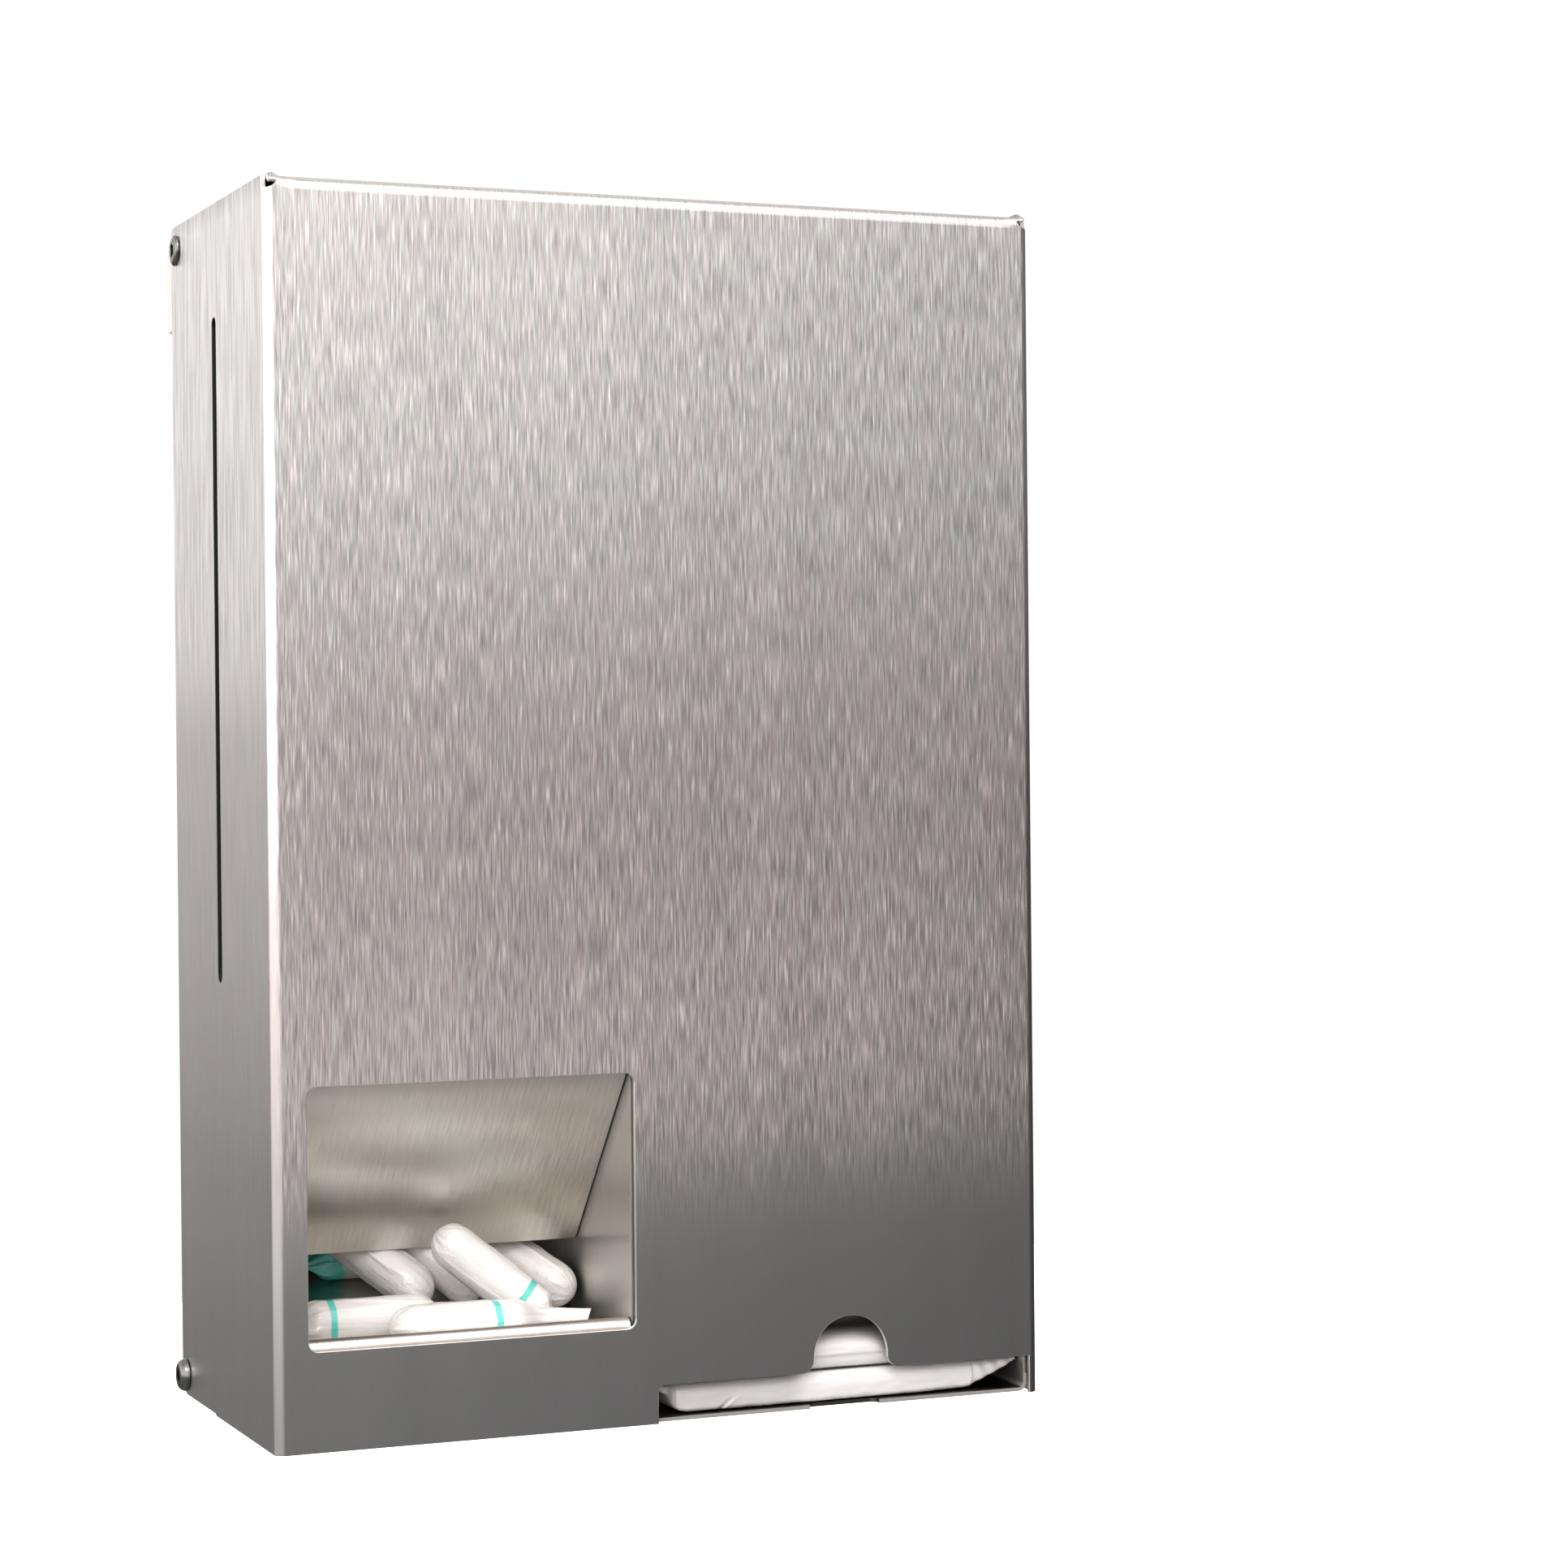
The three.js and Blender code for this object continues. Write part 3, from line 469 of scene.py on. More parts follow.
def build_cover():
    NB = 16
    facets_l = [RO - Q * i / NB for i in range(NB + 1)]
    facets_r = [W - f for f in facets_l]
    facets_v = [H - RT + math.pi / 2 * RT * i / 22 for i in range(23)]

    def mirror(pts):
        return [(W - x, y) for x, y in reversed(pts)]

    # left half of the outline above the bottom, from the rear low corner up and forward, listed upwards
    left_up = []
    left_up += [(uL(74), 0.0), (uL(74), 0.6)]
    left_up += [(uL(111.7 + 6.7 * math.cos(a)), 7.2 + 6.6 * math.sin(a)) for a in [-math.pi / 2 + math.pi / 2 * i / 8 for i in range(9)]]
    left_up += [(uL(118.4), 372 - 3.4)]
    left_up += [(uL(111.0 + 3.4 * math.cos(a)), 372 + 3.4 * math.sin(a)) for a in [-math.pi / 2 - math.pi * i / 12 for i in range(13)]]
    left_up += [(uL(118.4), 372 + 3.4)]
    left_up += [(uL(115.4 + 3 * math.cos(a)), 377 + 3 * math.sin(a)) for a in [math.pi / 2 * i / 6 for i in range(7)]]
    left_up += [(uL(3.05), 380.0), (uL(3.05), 376.3)]
    left_up += [(-1.0, 376.1), (0.2, 376.0), (1.0, 376.05), (1.8, 376.2), (2.6, 376.55), (3.3, 377.05), (3.8, 377.6), (4.0, 378.0), (3.8, 378.22), (3.4, 378.3)]
    left_up += [(2.7, 378.28), (2.1, 378.32), (1.75, 378.5), (1.6, 378.8), (1.55, 379.3)]
    left_up += [(1.55, 497.1 - 0.4)]
    left_up += [(1.95, 497.1)]

    # bottom edge, left to right
    nx, top, r, fl = 186.4, 29.3, 12.7, 4.0
    zc, z1 = top - r, 12.0
    bottom = [(121.3, 0.0)]
    bottom += list(reversed(arc(121.3 + 2.2, z1 - 2.2, 2.2, math.pi / 2, math.pi, 6)))
    bottom += arc(nx - r - fl, z1 + fl, fl, 1.5 * math.pi, 2 * math.pi, 8)
    bottom += arc(nx, zc, r, math.pi, 0, 32)
    bottom += arc(nx + r + fl, z1 + fl, fl, math.pi, 1.5 * math.pi, 8)
    bottom += [(249.3, z1), (249.3, 0.0)]

    outer = []
    outer += bottom
    outer += [(W - x, y) for x, y in left_up]          # up the right flap, forward, up the top flap
    outer += list(reversed(left_up))                   # back along the top flap and down the left flap
    # drop repeated points
    clean = []
    for p in outer:
        if not clean or (abs(p[0] - clean[-1][0]) + abs(p[1] - clean[-1][1])) > 1e-6:
            clean.append(p)
    outer = clean

    def rr(x0, x1, y0, y1, r, n):
        return arc(x1 - r, y1 - r, r, 0, math.pi / 2, n) + arc(x0 + r, y1 - r, r, math.pi / 2, math.pi, n) + arc(x0 + r, y0 + r, r, math.pi, 1.5 * math.pi, n) + arc(x1 - r, y0 + r, r, 1.5 * math.pi, 2 * math.pi, n)

    holes = [list(reversed(rr(WIN["x0"], WIN["x1"], WIN["z0"], WIN["z1"], WIN["r"], 8)))]
    for side in (0, 1):
        f = (lambda p: (W - p[0], p[1])) if side else (lambda p: p)
        slot = [f((uL(y), z)) for y, z in rr(59.8, 65.0, 137.3, 344.6, 2.58, 8)]
        hole = [f((uL(111.7 + 3.4 * math.cos(a)), 7.2 + 3.4 * math.sin(a))) for a in [2 * math.pi * i / 32 for i in range(32)]]
        for h in (slot, hole):
            area = sum(h[i][0] * h[(i + 1) % len(h)][1] - h[(i + 1) % len(h)][0] * h[i][1] for i in range(len(h)))
            holes.append(list(reversed(h)) if area > 0 else h)

    def refine(loop):
        out = []
        n = len(loop)
        for i in range(n):
            a, b = loop[i], loop[(i + 1) % n]
            out.append(a)
            ts = []
            du, dv = b[0] - a[0], b[1] - a[1]
            if abs(du) > 1e-9:
                for g in facets_l + facets_r:
                    t = (g - a[0]) / du
                    if 1e-4 < t < 1 - 1e-4 and a[1] + t * dv < 377.7:
                        ts.append(t)
            if abs(dv) > 1e-9:
                for g in facets_v:
                    t = (g - a[1]) / dv
                    if 1e-4 < t < 1 - 1e-4 and 1.0 < a[0] + t * du < W - 1:
                        ts.append(t)
            for t in sorted(set(round(t, 6) for t in ts)):
                out.append((a[0] + t * du, a[1] + t * dv))
        return out

    def inset(loop, c):
        n = len(loop)
        res = []
        for i in range(n):
            p0, p, p1 = np.array(loop[i - 1]), np.array(loop[i]), np.array(loop[(i + 1) % n])
            a, b = p - p0, p1 - p
            a, b = a / np.linalg.norm(a), b / np.linalg.norm(b)
            na, nb = np.array([-a[1], a[0]]), np.array([-b[1], b[0]])
            k = na + nb
            k = k / max(1e-9, np.linalg.norm(k))
            s = c / max(0.35, float(k @ na))
            res.append(tuple(p + k * s))
        return res

    C = 0.13
    loops = [refine(outer)] + [refine(h) for h in holes]
    insets = [inset(l, C) for l in loops]

    verts2, edges2 = [], []
    starts = []
    for l in insets:
        s = len(verts2)
        starts.append(s)
        verts2 += l
        edges2 += [(s + i, s + (i + 1) % len(l)) for i in range(len(l))]

    def line(a, b, step=7.0):
        n = max(1, round(math.hypot(b[0] - a[0], b[1] - a[1]) / step))
        s = len(verts2)
        verts2.extend([(a[0] + (b[0] - a[0]) * i / n, a[1] + (b[1] - a[1]) * i / n) for i in range(n + 1)])
        edges2.extend([(s + i, s + i + 1) for i in range(n)])

    for g in facets_l + facets_r:
        line((g, C), (g, 375.8))
    for g in facets_v:
        if g > 379.4:
            line((1.55 + C, g), (W - 1.55 - C, g))
        else:
            line((4.3, g), (W - 4.3, g))
    for k in range(1, 12):
        x = 1.68 + 0.40 * k
        for s in (x, W - x):
            line((s, 379.5), (s, 385.5), 0.6)
    # points over the flats keep the triangles compact
    for x in np.arange(8.5, W - 8, 9.0):
        for z in list(np.arange(6.0, 375.0, 9.0)) + list(np.arange(387.0, 494.0, 9.0)):
            verts2.append((float(x), float(z)))
    for u in np.arange(6.0, 112.0, 8.0):
        for z in np.arange(6.0, 377.0, 9.0):
            verts2.append((float(uL(RO) - u), float(z)))
            verts2.append((float(W - uL(RO) + u), float(z)))
    out = delaunay_2d_cdt([Vector(p) for p in verts2], edges2, [], 0, 1e-5)
    v2 = np.array([tuple(p) for p in out[0]])
    tris = [t for t in out[2]]

    def inside(p, loop):
        x, y = p
        c = False
        n = len(loop)
        j = n - 1
        for i in range(n):
            xi, yi = loop[i]
            xj, yj = loop[j]
            if (yi > y) != (yj > y) and x < (xj - xi) * (y - yi) / (yj - yi) + xi:
                c = not c
            j = i
        return c

    keep = []
    for t in tris:
        c = v2[list(t)].mean(0)
        if inside(c, insets[0]) and not any(min(q[0] for q in h) < c[0] < max(q[0] for q in h) and inside(c, h) for h in insets[1:]):
            a, b, d = v2[t[0]], v2[t[1]], v2[t[2]]
            if (b[0] - a[0]) * (d[1] - a[1]) - (b[1] - a[1]) * (d[0] - a[0]) < 0:
                t = (t[0], t[2], t[1])
            keep.append(tuple(t))
    used = sorted(set(i for t in keep for i in t))
    remap = {u: i for i, u in enumerate(used)}
    v2 = v2[used]
    keep = [tuple(remap[i] for i in t) for t in keep]
    n = len(v2)
    verts, uvs, nrm = [], [], []
    for d in (0.0, T):
        for u, v in v2:
            p, nn = cover_point(u, v, d)
            verts.append(p)
            uvs.append((u / 1000, v / 1000))
            nrm.append(nn if d == 0 else tuple(-c for c in nn))
    faces, fn, fm = [], [], []
    for t in keep:
        faces.append(t)
        fn += [nrm[i] for i in t]
        fm.append(0)
        r = (t[0] + n, t[2] + n, t[1] + n)
        faces.append(r)
        fn += [nrm[i] for i in r]
        fm.append(0)
    # rims: the face rings are looked up among the triangulated points
    key = {(round(u, 3), round(v, 3)): i for i, (u, v) in enumerate(v2)}
    for at, (l, ins) in enumerate(zip(loops, insets)):
        m = len(l)
        ring0, ring3 = [], []
        for p in ins:
            i = key.get((round(p[0], 3), round(p[1], 3)))
            if i is None:
                i = int(np.argmin(((v2 - np.array(p)) ** 2).sum(1)))
            ring0.append(i)
            ring3.append(i + n)
        ring1, ring2 = [], []
        for d, ring in ((C, ring1), (T - C, ring2)):
            for u, v in l:
                p, _ = cover_point(u, v, d)
                ring.append(len(verts))
                verts.append(p)
                uvs.append((u / 1000, v / 1000))
        for i in range(m):
            j = (i + 1) % m
            for ra, rb in ((ring0, ring1), (ring1, ring2), (ring2, ring3)):
                q = [ra[j], ra[i], rb[i], rb[j]]
                q2 = []
                for k in q:
                    if k not in q2:
                        q2.append(k)
                if len(q2) < 3:
                    continue
                P = [np.array(verts[k]) for k in q2]
                nn = np.zeros(3)
                for k in range(len(P)):
                    nn += np.cross(P[k] - P[0], P[(k + 1) % len(P)] - P[0])
                nn /= max(1e-12, np.linalg.norm(nn))
                faces.append(tuple(q2))
                fn += [tuple(nn)] * len(q2)
                # painted shade: the rims of the two side slots take the near-black SHADED steel, the other rims are cut
                # edges
                fm.append(2 if at in (2, 4) else 1)
    me = mesh_from("front_cover_fine", verts, faces, fn, fm, uvs)
    return link("front_cover_fine", me, [STEEL, CUT, SHADED], "cover", ["front_cover"])


build_cover()


# ------------------------------------------------------------------ bent inner sheets
def sheet_outline(path, t, rc, n=16):
    line = []
    P = [np.array(p, float) for p in path]
    for i, p in enumerate(P):
        if i == 0 or i == len(P) - 1:
            q = (P[1] - p) if i == 0 else (p - P[i - 1])
            q /= np.linalg.norm(q)
            line.append((p, np.array([-q[1], q[0]])))
            continue
        r = rc[i - 1] if isinstance(rc, (list, tuple)) else rc
        a = (p - P[i - 1]) / np.linalg.norm(p - P[i - 1])
        b = (P[i + 1] - p) / np.linalg.norm(P[i + 1] - p)
        turn = math.atan2(a[0] * b[1] - a[1] * b[0], a @ b)
        cut = r * math.tan(abs(turn) / 2)
        s = math.copysign(1, turn)
        start = p - a * cut
        c = start + np.array([-a[1], a[0]]) * s * r
        m = max(3, round(n * abs(turn) / (math.pi / 2)))
        for k in range(m + 1):
            g = turn * k / m
            d = np.array([a[0] * math.cos(g) - a[1] * math.sin(g), a[0] * math.sin(g) + a[1] * math.cos(g)])
            nn = np.array([-d[1], d[0]])
            line.append((c - nn * s * r, nn))
    left = [q + nn * t / 2 for q, nn in line]
    right = [q - nn * t / 2 for q, nn in line]
    return left + right[::-1]


def prism(name, axis, outline, a, b, mat, body, replaces, bevel=0.00012):
    """Outline (y, z) along x, (x, z) along y or (x, y) along z, extruded from a to b."""
    n = len(outline)
    at = {"x": lambda p, s: (s, p[0], p[1]), "y": lambda p, s: (p[0], s, p[1]), "z": lambda p, s: (p[0], p[1], s)}[axis]
    verts = [at(p, a) for p in outline] + [at(p, b) for p in outline]
    area = sum(outline[i][0] * outline[(i + 1) % n][1] - outline[(i + 1) % n][0] * outline[i][1] for i in range(n))
    faces = [(i, (i + 1) % n, n + (i + 1) % n, n + i) for i in range(n)]
    # end faces as strips between the two skins of the sheet
    h = n // 2
    for i in range(h - 1):
        j = n - 1 - i
        faces.append((i, j, j - 1, i + 1)[::1])
        faces.append((n + i, n + i + 1, n + j - 1, n + j))
    me = mesh_from(name, verts, faces)
    bm = bmesh.new()
    bm.from_mesh(me)
    bmesh.ops.recalc_face_normals(bm, faces=bm.faces)
    box_uv(bm)
    bm.to_mesh(me)
    bm.free()
    o = link(name, me, mat, body, replaces)
    soften(o, bevel, 40)
    return o


FLOOR = [(7.3, 22.6), (62, 27.85), (113.4, 48.4)]
LIP = 33.2 - 0.6
prism("tampon_tray_fine", "x", sheet_outline([(2.5, 4), (2.5, LIP), (7.3, LIP), *FLOOR, (113.4, 60)], 1.2, [2.39, 2.39, 1.8, 6.0, 1.8]), 6.5, 113.0, INNER, "chassis", ["tampon_tray"])

for node in ("hopper_front", "base_plate"):
    carry(node, [INNER, CUT], rim=3.0)
carry("hopper_side", [MAGAZINE, CUT], rim=3.0)
carry("pad_magazine", [MAGAZINE, EDGE, SHADED], bevel=0.0003, rim=3.0, foot=6.0)
for node in ("wall_rail", "hanging_hook_left", "hanging_hook_right", "back_plate"):
    carry(node, INNER)
for s in ("left", "right"):
    carry(f"rail_cap_{s}", WHITE, bevel=0.0009, angle=40)
    carry(f"wall_buffer_{s}", RUBBER, bevel=0.0003, angle=40)
    for k in ("pivot", "clamp"):
        carry(f"{k}_washer_{s}", NYLON, bevel=0.0001)
        carry(f"{k}_nut_{s}", BRIGHT, bevel=0.0001)
for node in NODES:
    if node.startswith("rivet_"):
        carry(node, ALU, bevel=0.0)


# ------------------------------------------------------------------ button-head screws
def screw(name, node, side, y, z, hh):
    rh, base = (5.25 if hh > 2 else 4.95), 0.3
    n = 60
    rings = []

    def ring(r, h):
        rings.append([(r * math.cos(2 * math.pi * i / n), r * math.sin(2 * math.pi * i / n), h) for i in range(n)])

    def hexring(f, h):
        pts = []
        for i in range(n):
            a = 2 * math.pi * i / n
            s = (a + math.pi / 6) % (math.pi / 3) - math.pi / 6
            r = f / 2 / math.cos(s)
            pts.append((r * math.cos(a), r * math.sin(a), h))
        rings.append(pts)

    for r, h in ((0.01, -9.7), (2.6, -9.7), (3.0, -9.3)):
        ring(r, h)
    for h in (-8.5, -4, base - 0.02):
        ring(3.0, h)
    for r, h in ((rh - 0.15, base), (rh, base + 0.15), (rh, base + 0.35)):
        ring(r, h)
    for i in range(1, 11):
        a = math.pi / 2 * i / 10
        ring(2.95 + (rh - 2.95) * math.cos(a), base + 0.35 + (hh - 0.35) * math.sin(a))
    ring(2.75, base + hh)
    hexring(4.35, base + hh)
    hexring(4.02, base + hh - 0.18)
    hexring(4.0, base + hh - 1.25)
    ring(1.6, base + hh - 1.25)
    ring(0.01, base + hh - 1.6)
    verts = []
    sg = -1 if side == "left" else 1
    x0 = 0 if side == "left" else W
    for r in rings:
        for a, b, h in r:
            verts.append((x0 + sg * h, y + a, z + b))
    faces = []
    for k in range(len(rings) - 1):
        for i in range(n):
            j = (i + 1) % n
            faces.append((k * n + i, k * n + j, (k + 1) * n + j, (k + 1) * n + i))
    faces.append(tuple(range(n))[::-1])
    faces.append(tuple(range((len(rings) - 1) * n, len(rings) * n)))
    me = mesh_from(name, verts, faces)
    bm = bmesh.new()
    bm.from_mesh(me)
    bmesh.ops.recalc_face_normals(bm, faces=bm.faces)
    bm.to_mesh(me)
    bm.free()
    o = link(name, me, SCREW, "chassis", [node])
    soften(o, 0.0, 32)
    return o


for s in ("left", "right"):
    screw(f"pivot_screw_{s}_fine", f"pivot_screw_{s}", s, 111.7, 7.2, 2.9)
    screw(f"clamp_screw_{s}_fine", f"clamp_screw_{s}", s, 111.0, 372.0, 1.35)


# ------------------------------------------------------------------ tampons
def wrap_material():
    m, nt, b = new_mat("tampon_wrap")
    uvn = nd(nt, "ShaderNodeUVMap", uv_map="UVMap").outputs[0]
    sep = nd(nt, "ShaderNodeSeparateXYZ")
    nt.links.new(uvn, sep.inputs[0])
    tc = nd(nt, "ShaderNodeTexCoord").outputs["Object"]
    wob = noise_tex(nt, tc, 160, 2, 0.5)
    s = nd(nt, "ShaderNodeMath", operation="MULTIPLY_ADD")
    nt.links.new(wob.outputs[0], s.inputs[0])
    s.inputs[1].default_value = 0.0006
    nt.links.new(sep.outputs["Y"], s.inputs[2])
    band = ramp(nt, maprange(nt, s.outputs[0], 0.0340, 0.0378, 0, 1).outputs[0], [(0.0, 0.0), (0.16, 0.0), (0.24, 1.0), (0.72, 1.0), (0.80, 0.0), (1.0, 0.0)])
    n1 = noise_tex(nt, mapping(nt, uvn, (1200, 60, 1)).outputs[0], 1.0, 3, 0.6, "2D")
    n2 = noise_tex(nt, tc, 45, 3, 0.5)
    # crinkled film where it is gathered over the round end
    n3 = noise_tex(nt, tc, 300, 3, 0.6)
    ridge = maprange(nt, fmath(nt, "ABSOLUTE", fmath(nt, "SUBTRACT", n3.outputs[0], 0.5)), 0.0, 0.10, 1.0, 0.0).outputs[0]
    where = maprange(nt, sep.outputs["Y"], 0.007, 0.021, 0.6, 0.06).outputs[0]
    height = fmath(nt, "ADD", n1.outputs[0], fmath(nt, "MULTIPLY", ridge, where))
    white = mixcol(nt, n2.outputs[0], (0.70, 0.685, 0.665), (0.80, 0.785, 0.77))
    teal = mixcol(nt, n1.outputs[0], (0.045, 0.50, 0.43), (0.13, 0.66, 0.58))
    col = mixcol(nt, band.outputs[0], white, teal)
    nt.links.new(col, b.inputs["Base Color"])
    nt.links.new(maprange(nt, n1.outputs[0], 0.3, 0.7, 0.30, 0.42).outputs[0], b.inputs["Roughness"])
    b.inputs["Coat Weight"].default_value = 1.0
    b.inputs["Coat Roughness"].default_value = 0.09
    b.inputs["Coat IOR"].default_value = 1.5
    b.inputs["Specular IOR Level"].default_value = 0.5
    b.inputs["Subsurface Weight"].default_value = 0.25
    b.inputs["Subsurface Radius"].default_value = (0.004, 0.0035, 0.003)
    b.inputs["Subsurface Scale"].default_value = 0.6
    bp = nd(nt, "ShaderNodeBump")
    bp.inputs["Strength"].default_value = 0.8
    bp.inputs["Distance"].default_value = 0.0002
    nt.links.new(height, bp.inputs["Height"])
    nt.links.new(bp.outputs[0], b.inputs["Normal"])
    nt.links.new(bp.outputs[0], b.inputs["Coat Normal"])
    return m


WRAP = wrap_material()
TAMPONS = [
    (1, (39.8, 16.2, 32.7), (1, 0, -0.017), (1, 0, -0.05), 64, (0, 0.15, 1), 4.4),
    (2, (60.7, 31.8, 33.4), (-1, 0, 0.0), (-1, 0.1, -0.05), 52, (0, 1, 0.6), 5.5),
    (3, (61.7, 38.3, 58.6), (0.734, -0.228, -0.64), (0.925, -0.335, -0.175), 61, (0.3, 1, 0), 5.0),
    (4, (110.0, 46.8, 34.2), (-0.608, 0.648, 0.459), (-0.608, 0.648, 0.459), 63, (1, 0.9, 0), 5.0),
    (5, (62.2, 46.5, 36.4), (-0.606, 0.600, 0.522), (-0.606, 0.600, 0.522), 63, (1, 0.9, 0), 5.0),
    (6, (79.8, 49.6, 35.9), (-0.600, 0.524, 0.604), (-0.600, 0.524, 0.604), 63, (1, 1, 0), 5.0),
    (7, (79.0, 85.0, 46.1), (-1, 0, 0), (-1, 0, -0.05), 63, (0, 1, 0.4), 5.0),
    (8, (47.0, 101.0, 52.6), (1, 0, 0), (1, 0, -0.05), 63, (0, 1, 0.4), 5.0),
]


def smooth(a, b, x):
    t = min(1.0, max(0.0, (x - a) / (b - a)))
    return t * t * (3 - 2 * t)


def tampon(n, tip, d, td, L, wd, half):
    rng = np.random.default_rng(40 + n)
    R = 7.25
    d = np.array(d, float)
    d /= np.linalg.norm(d)
    td = np.array(td, float)
    td /= np.linalg.norm(td)
    wd = np.array(wd, float)
    tip = np.array(tip, float)
    NS, NA = 150, 112
    ss = np.concatenate([9.0 * (np.linspace(0, 1, 26) ** 1.6), np.linspace(9.0, L, NS - 26 + 1)[1:]])
    # pleats: angle, height, crest width, start, end
    pleats = []
    for k in range(9):
        pleats.append((rng.uniform(0, 2 * math.pi), rng.uniform(0.16, 0.55), rng.uniform(0.05, 0.12), rng.uniform(-6, 14), rng.uniform(30, 70), rng.uniform(-0.25, 0.25), rng.uniform(0, 6)))
    folds = rng.uniform(0, 2 * math.pi, 6)
    verts, uvs = [], []
    c = tip.copy()
    prev = 0.0
    for s in ss:
        bend = smooth(38.0, 50.0, s)
        t = d * (1 - bend) + td * bend
        t /= np.linalg.norm(t)
        c = c + t * (s - prev)
        prev = s
        w = wd - t * (wd @ t)
        w /= np.linalg.norm(w)
        k = np.cross(t, w)
        q = min(1.0, s / 8.6)
        r = R * (1 - (1 - q) ** 2.1) ** 0.55
        flat = smooth(39.0, 51.0, s)
        a = r * (1 - flat) + half * flat
        a -= 0.5 * smooth(L - 14, L, s)
        b = r * (1 - flat) ** 1.15 + 0.32 * flat
        wr = 0.25 + 0.75 * flat
        for i in range(NA):
            th = 2 * math.pi * i / NA
            h = 0.0
            for (th0, amp, wid, s0, s1, drift, ph) in pleats:
                cc = th0 + drift * math.sin(s / 14 + ph)
                dd = (th - cc + math.pi) % (2 * math.pi) - math.pi
                env = smooth(s0, s0 + 6, s) * (1 - smooth(s1 - 6, s1, s))
                if abs(dd) < 0.6:
                    h += amp * env * (math.exp(-abs(dd) / wid) if dd > 0 else math.exp(-(dd / (wid * 0.6)) ** 2))
            # gathered film on the tip, folds where the tail closes
            h += 0.30 * (1 - smooth(2.5, 9.0, s)) * smooth(0.0, 1.6, s) * math.sin(9 * th + folds[0] + s * 0.5) * math.sin(4 * th + folds[1])
            close = smooth(37, 43, s) * (1 - smooth(50, 58, s))
            h += 0.55 * close * math.sin(7 * th + folds[2] + 0.12 * s) * math.sin(3 * th + folds[3])
            v = Vector((math.cos(th) * 2.2 + n * 7.3, math.sin(th) * 2.2, s * 0.12))
            h += 0.16 * noise.noise(v * 1.3) + 0.05 * noise.noise(Vector((v.x * 4, v.y * 4, s * 0.5)))
            x, y = a * math.cos(th), b * math.sin(th)
            # ripples of the flat end
            y += flat * 0.45 * math.sin(1.9 * math.cos(th) + folds[4] + 0.10 * (s - 45)) * (0.4 + 0.6 * smooth(46, 60, s))
            lim = 1 - 0.75 * flat
            nx, ny = math.cos(th) * b, math.sin(th) * a
            nl = math.hypot(nx, ny) or 1
            x += h * lim * nx / nl
            y += h * (1 - 0.55 * flat) * ny / nl
            shear = 0.0
            if s > L - 8:
                shear = smooth(L - 8, L, s) * 1.6 * (x / max(0.1, a))
            verts.append(c + w * x + k * y + t * shear)
            along = {1: s + 2.2, 3: s + 1.6, 7: 35.8 + (s - 46) * 0.12}.get(n, s)
            uvs.append((i / NA * 2 * math.pi * R / 1000, along / 1000))
    ns = len(ss)
    faces = []
    for j in range(ns - 1):
        for i in range(NA):
            i2 = (i + 1) % NA
            faces.append((j * NA + i, j * NA + i2, (j + 1) * NA + i2, (j + 1) * NA + i))
    faces.append(tuple(range(NA))[::-1])
    base = (ns - 1) * NA
    # flat end closed as strips
    for i in range(NA // 2):
        i0, i1 = i, i + 1
        j0, j1 = (NA - i) % NA, NA - i - 1
        f = [base + i0, base + i1, base + j1, base + j0]
        f2 = []
        for q in f:
            if q not in f2:
                f2.append(q)
        if len(f2) > 2:
            faces.append(tuple(f2))
    name = f"tampon_{n}_wrapped"
    me = mesh_from(name, verts, faces, uvs=uvs)
    bm = bmesh.new()
    bm.from_mesh(me)
    bmesh.ops.recalc_face_normals(bm, faces=bm.faces)
    bm.to_mesh(me)
    bm.free()
    o = link(name, me, WRAP, "front_tampon" if n == 1 else "chassis", [f"tampon_{n}"])
    return o


for t in TAMPONS:
    tampon(*t)


# ------------------------------------------------------------------ pads
def film_material(name, reach, stops):
    m, nt, b = new_mat(name)
    tc = nd(nt, "ShaderNodeTexCoord").outputs["Object"]
    n1 = noise_tex(nt, mapping(nt, tc, (1, 2.2, 3)).outputs[0], 170, 5, 0.6)
    n2 = noise_tex(nt, tc, 30, 3, 0.5)
    col = mixcol(nt, n2.outputs[0], (0.74, 0.735, 0.74), (0.86, 0.855, 0.865))
    # painted shade: the film is darker left of about x 170 mm, under the cover's front, and lighter from there to the
    # right, under the thumb notch
    sep = nd(nt, "ShaderNodeSeparateXYZ")
    nt.links.new(tc, sep.inputs[0])
    layers = ramp(nt, maprange(nt, sep.outputs["X"], 0.0405, 0.0475, 0.0, 1.0).outputs[0], [(0.0, 0.74), (1.0, 0.95)])
    col = mixcol(nt, 1.0, col, layers.outputs[0], "MULTIPLY")
    # shade that gathers between the packets
    ao = nd(nt, "ShaderNodeAmbientOcclusion")
    ao.samples = 8
    ao.inputs["Distance"].default_value = reach
    deep = ramp(nt, ao.outputs["AO"], stops)
    col = mixcol(nt, 1.0, col, deep.outputs[0], "MULTIPLY")
    nt.links.new(col, b.inputs["Base Color"])
    nt.links.new(maprange(nt, n1.outputs[0], 0.3, 0.7, 0.26, 0.4).outputs[0], b.inputs["Roughness"])
    b.inputs["Sheen Weight"].default_value = 0.15
    b.inputs["Coat Weight"].default_value = 0.35
    b.inputs["Coat Roughness"].default_value = 0.2
    bp = nd(nt, "ShaderNodeBump")
    bp.inputs["Strength"].default_value = 0.25
    bp.inputs["Distance"].default_value = 0.0003
    nt.links.new(n1.outputs[0], bp.inputs["Height"])
    nt.links.new(bp.outputs[0], b.inputs["Normal"])
    return m
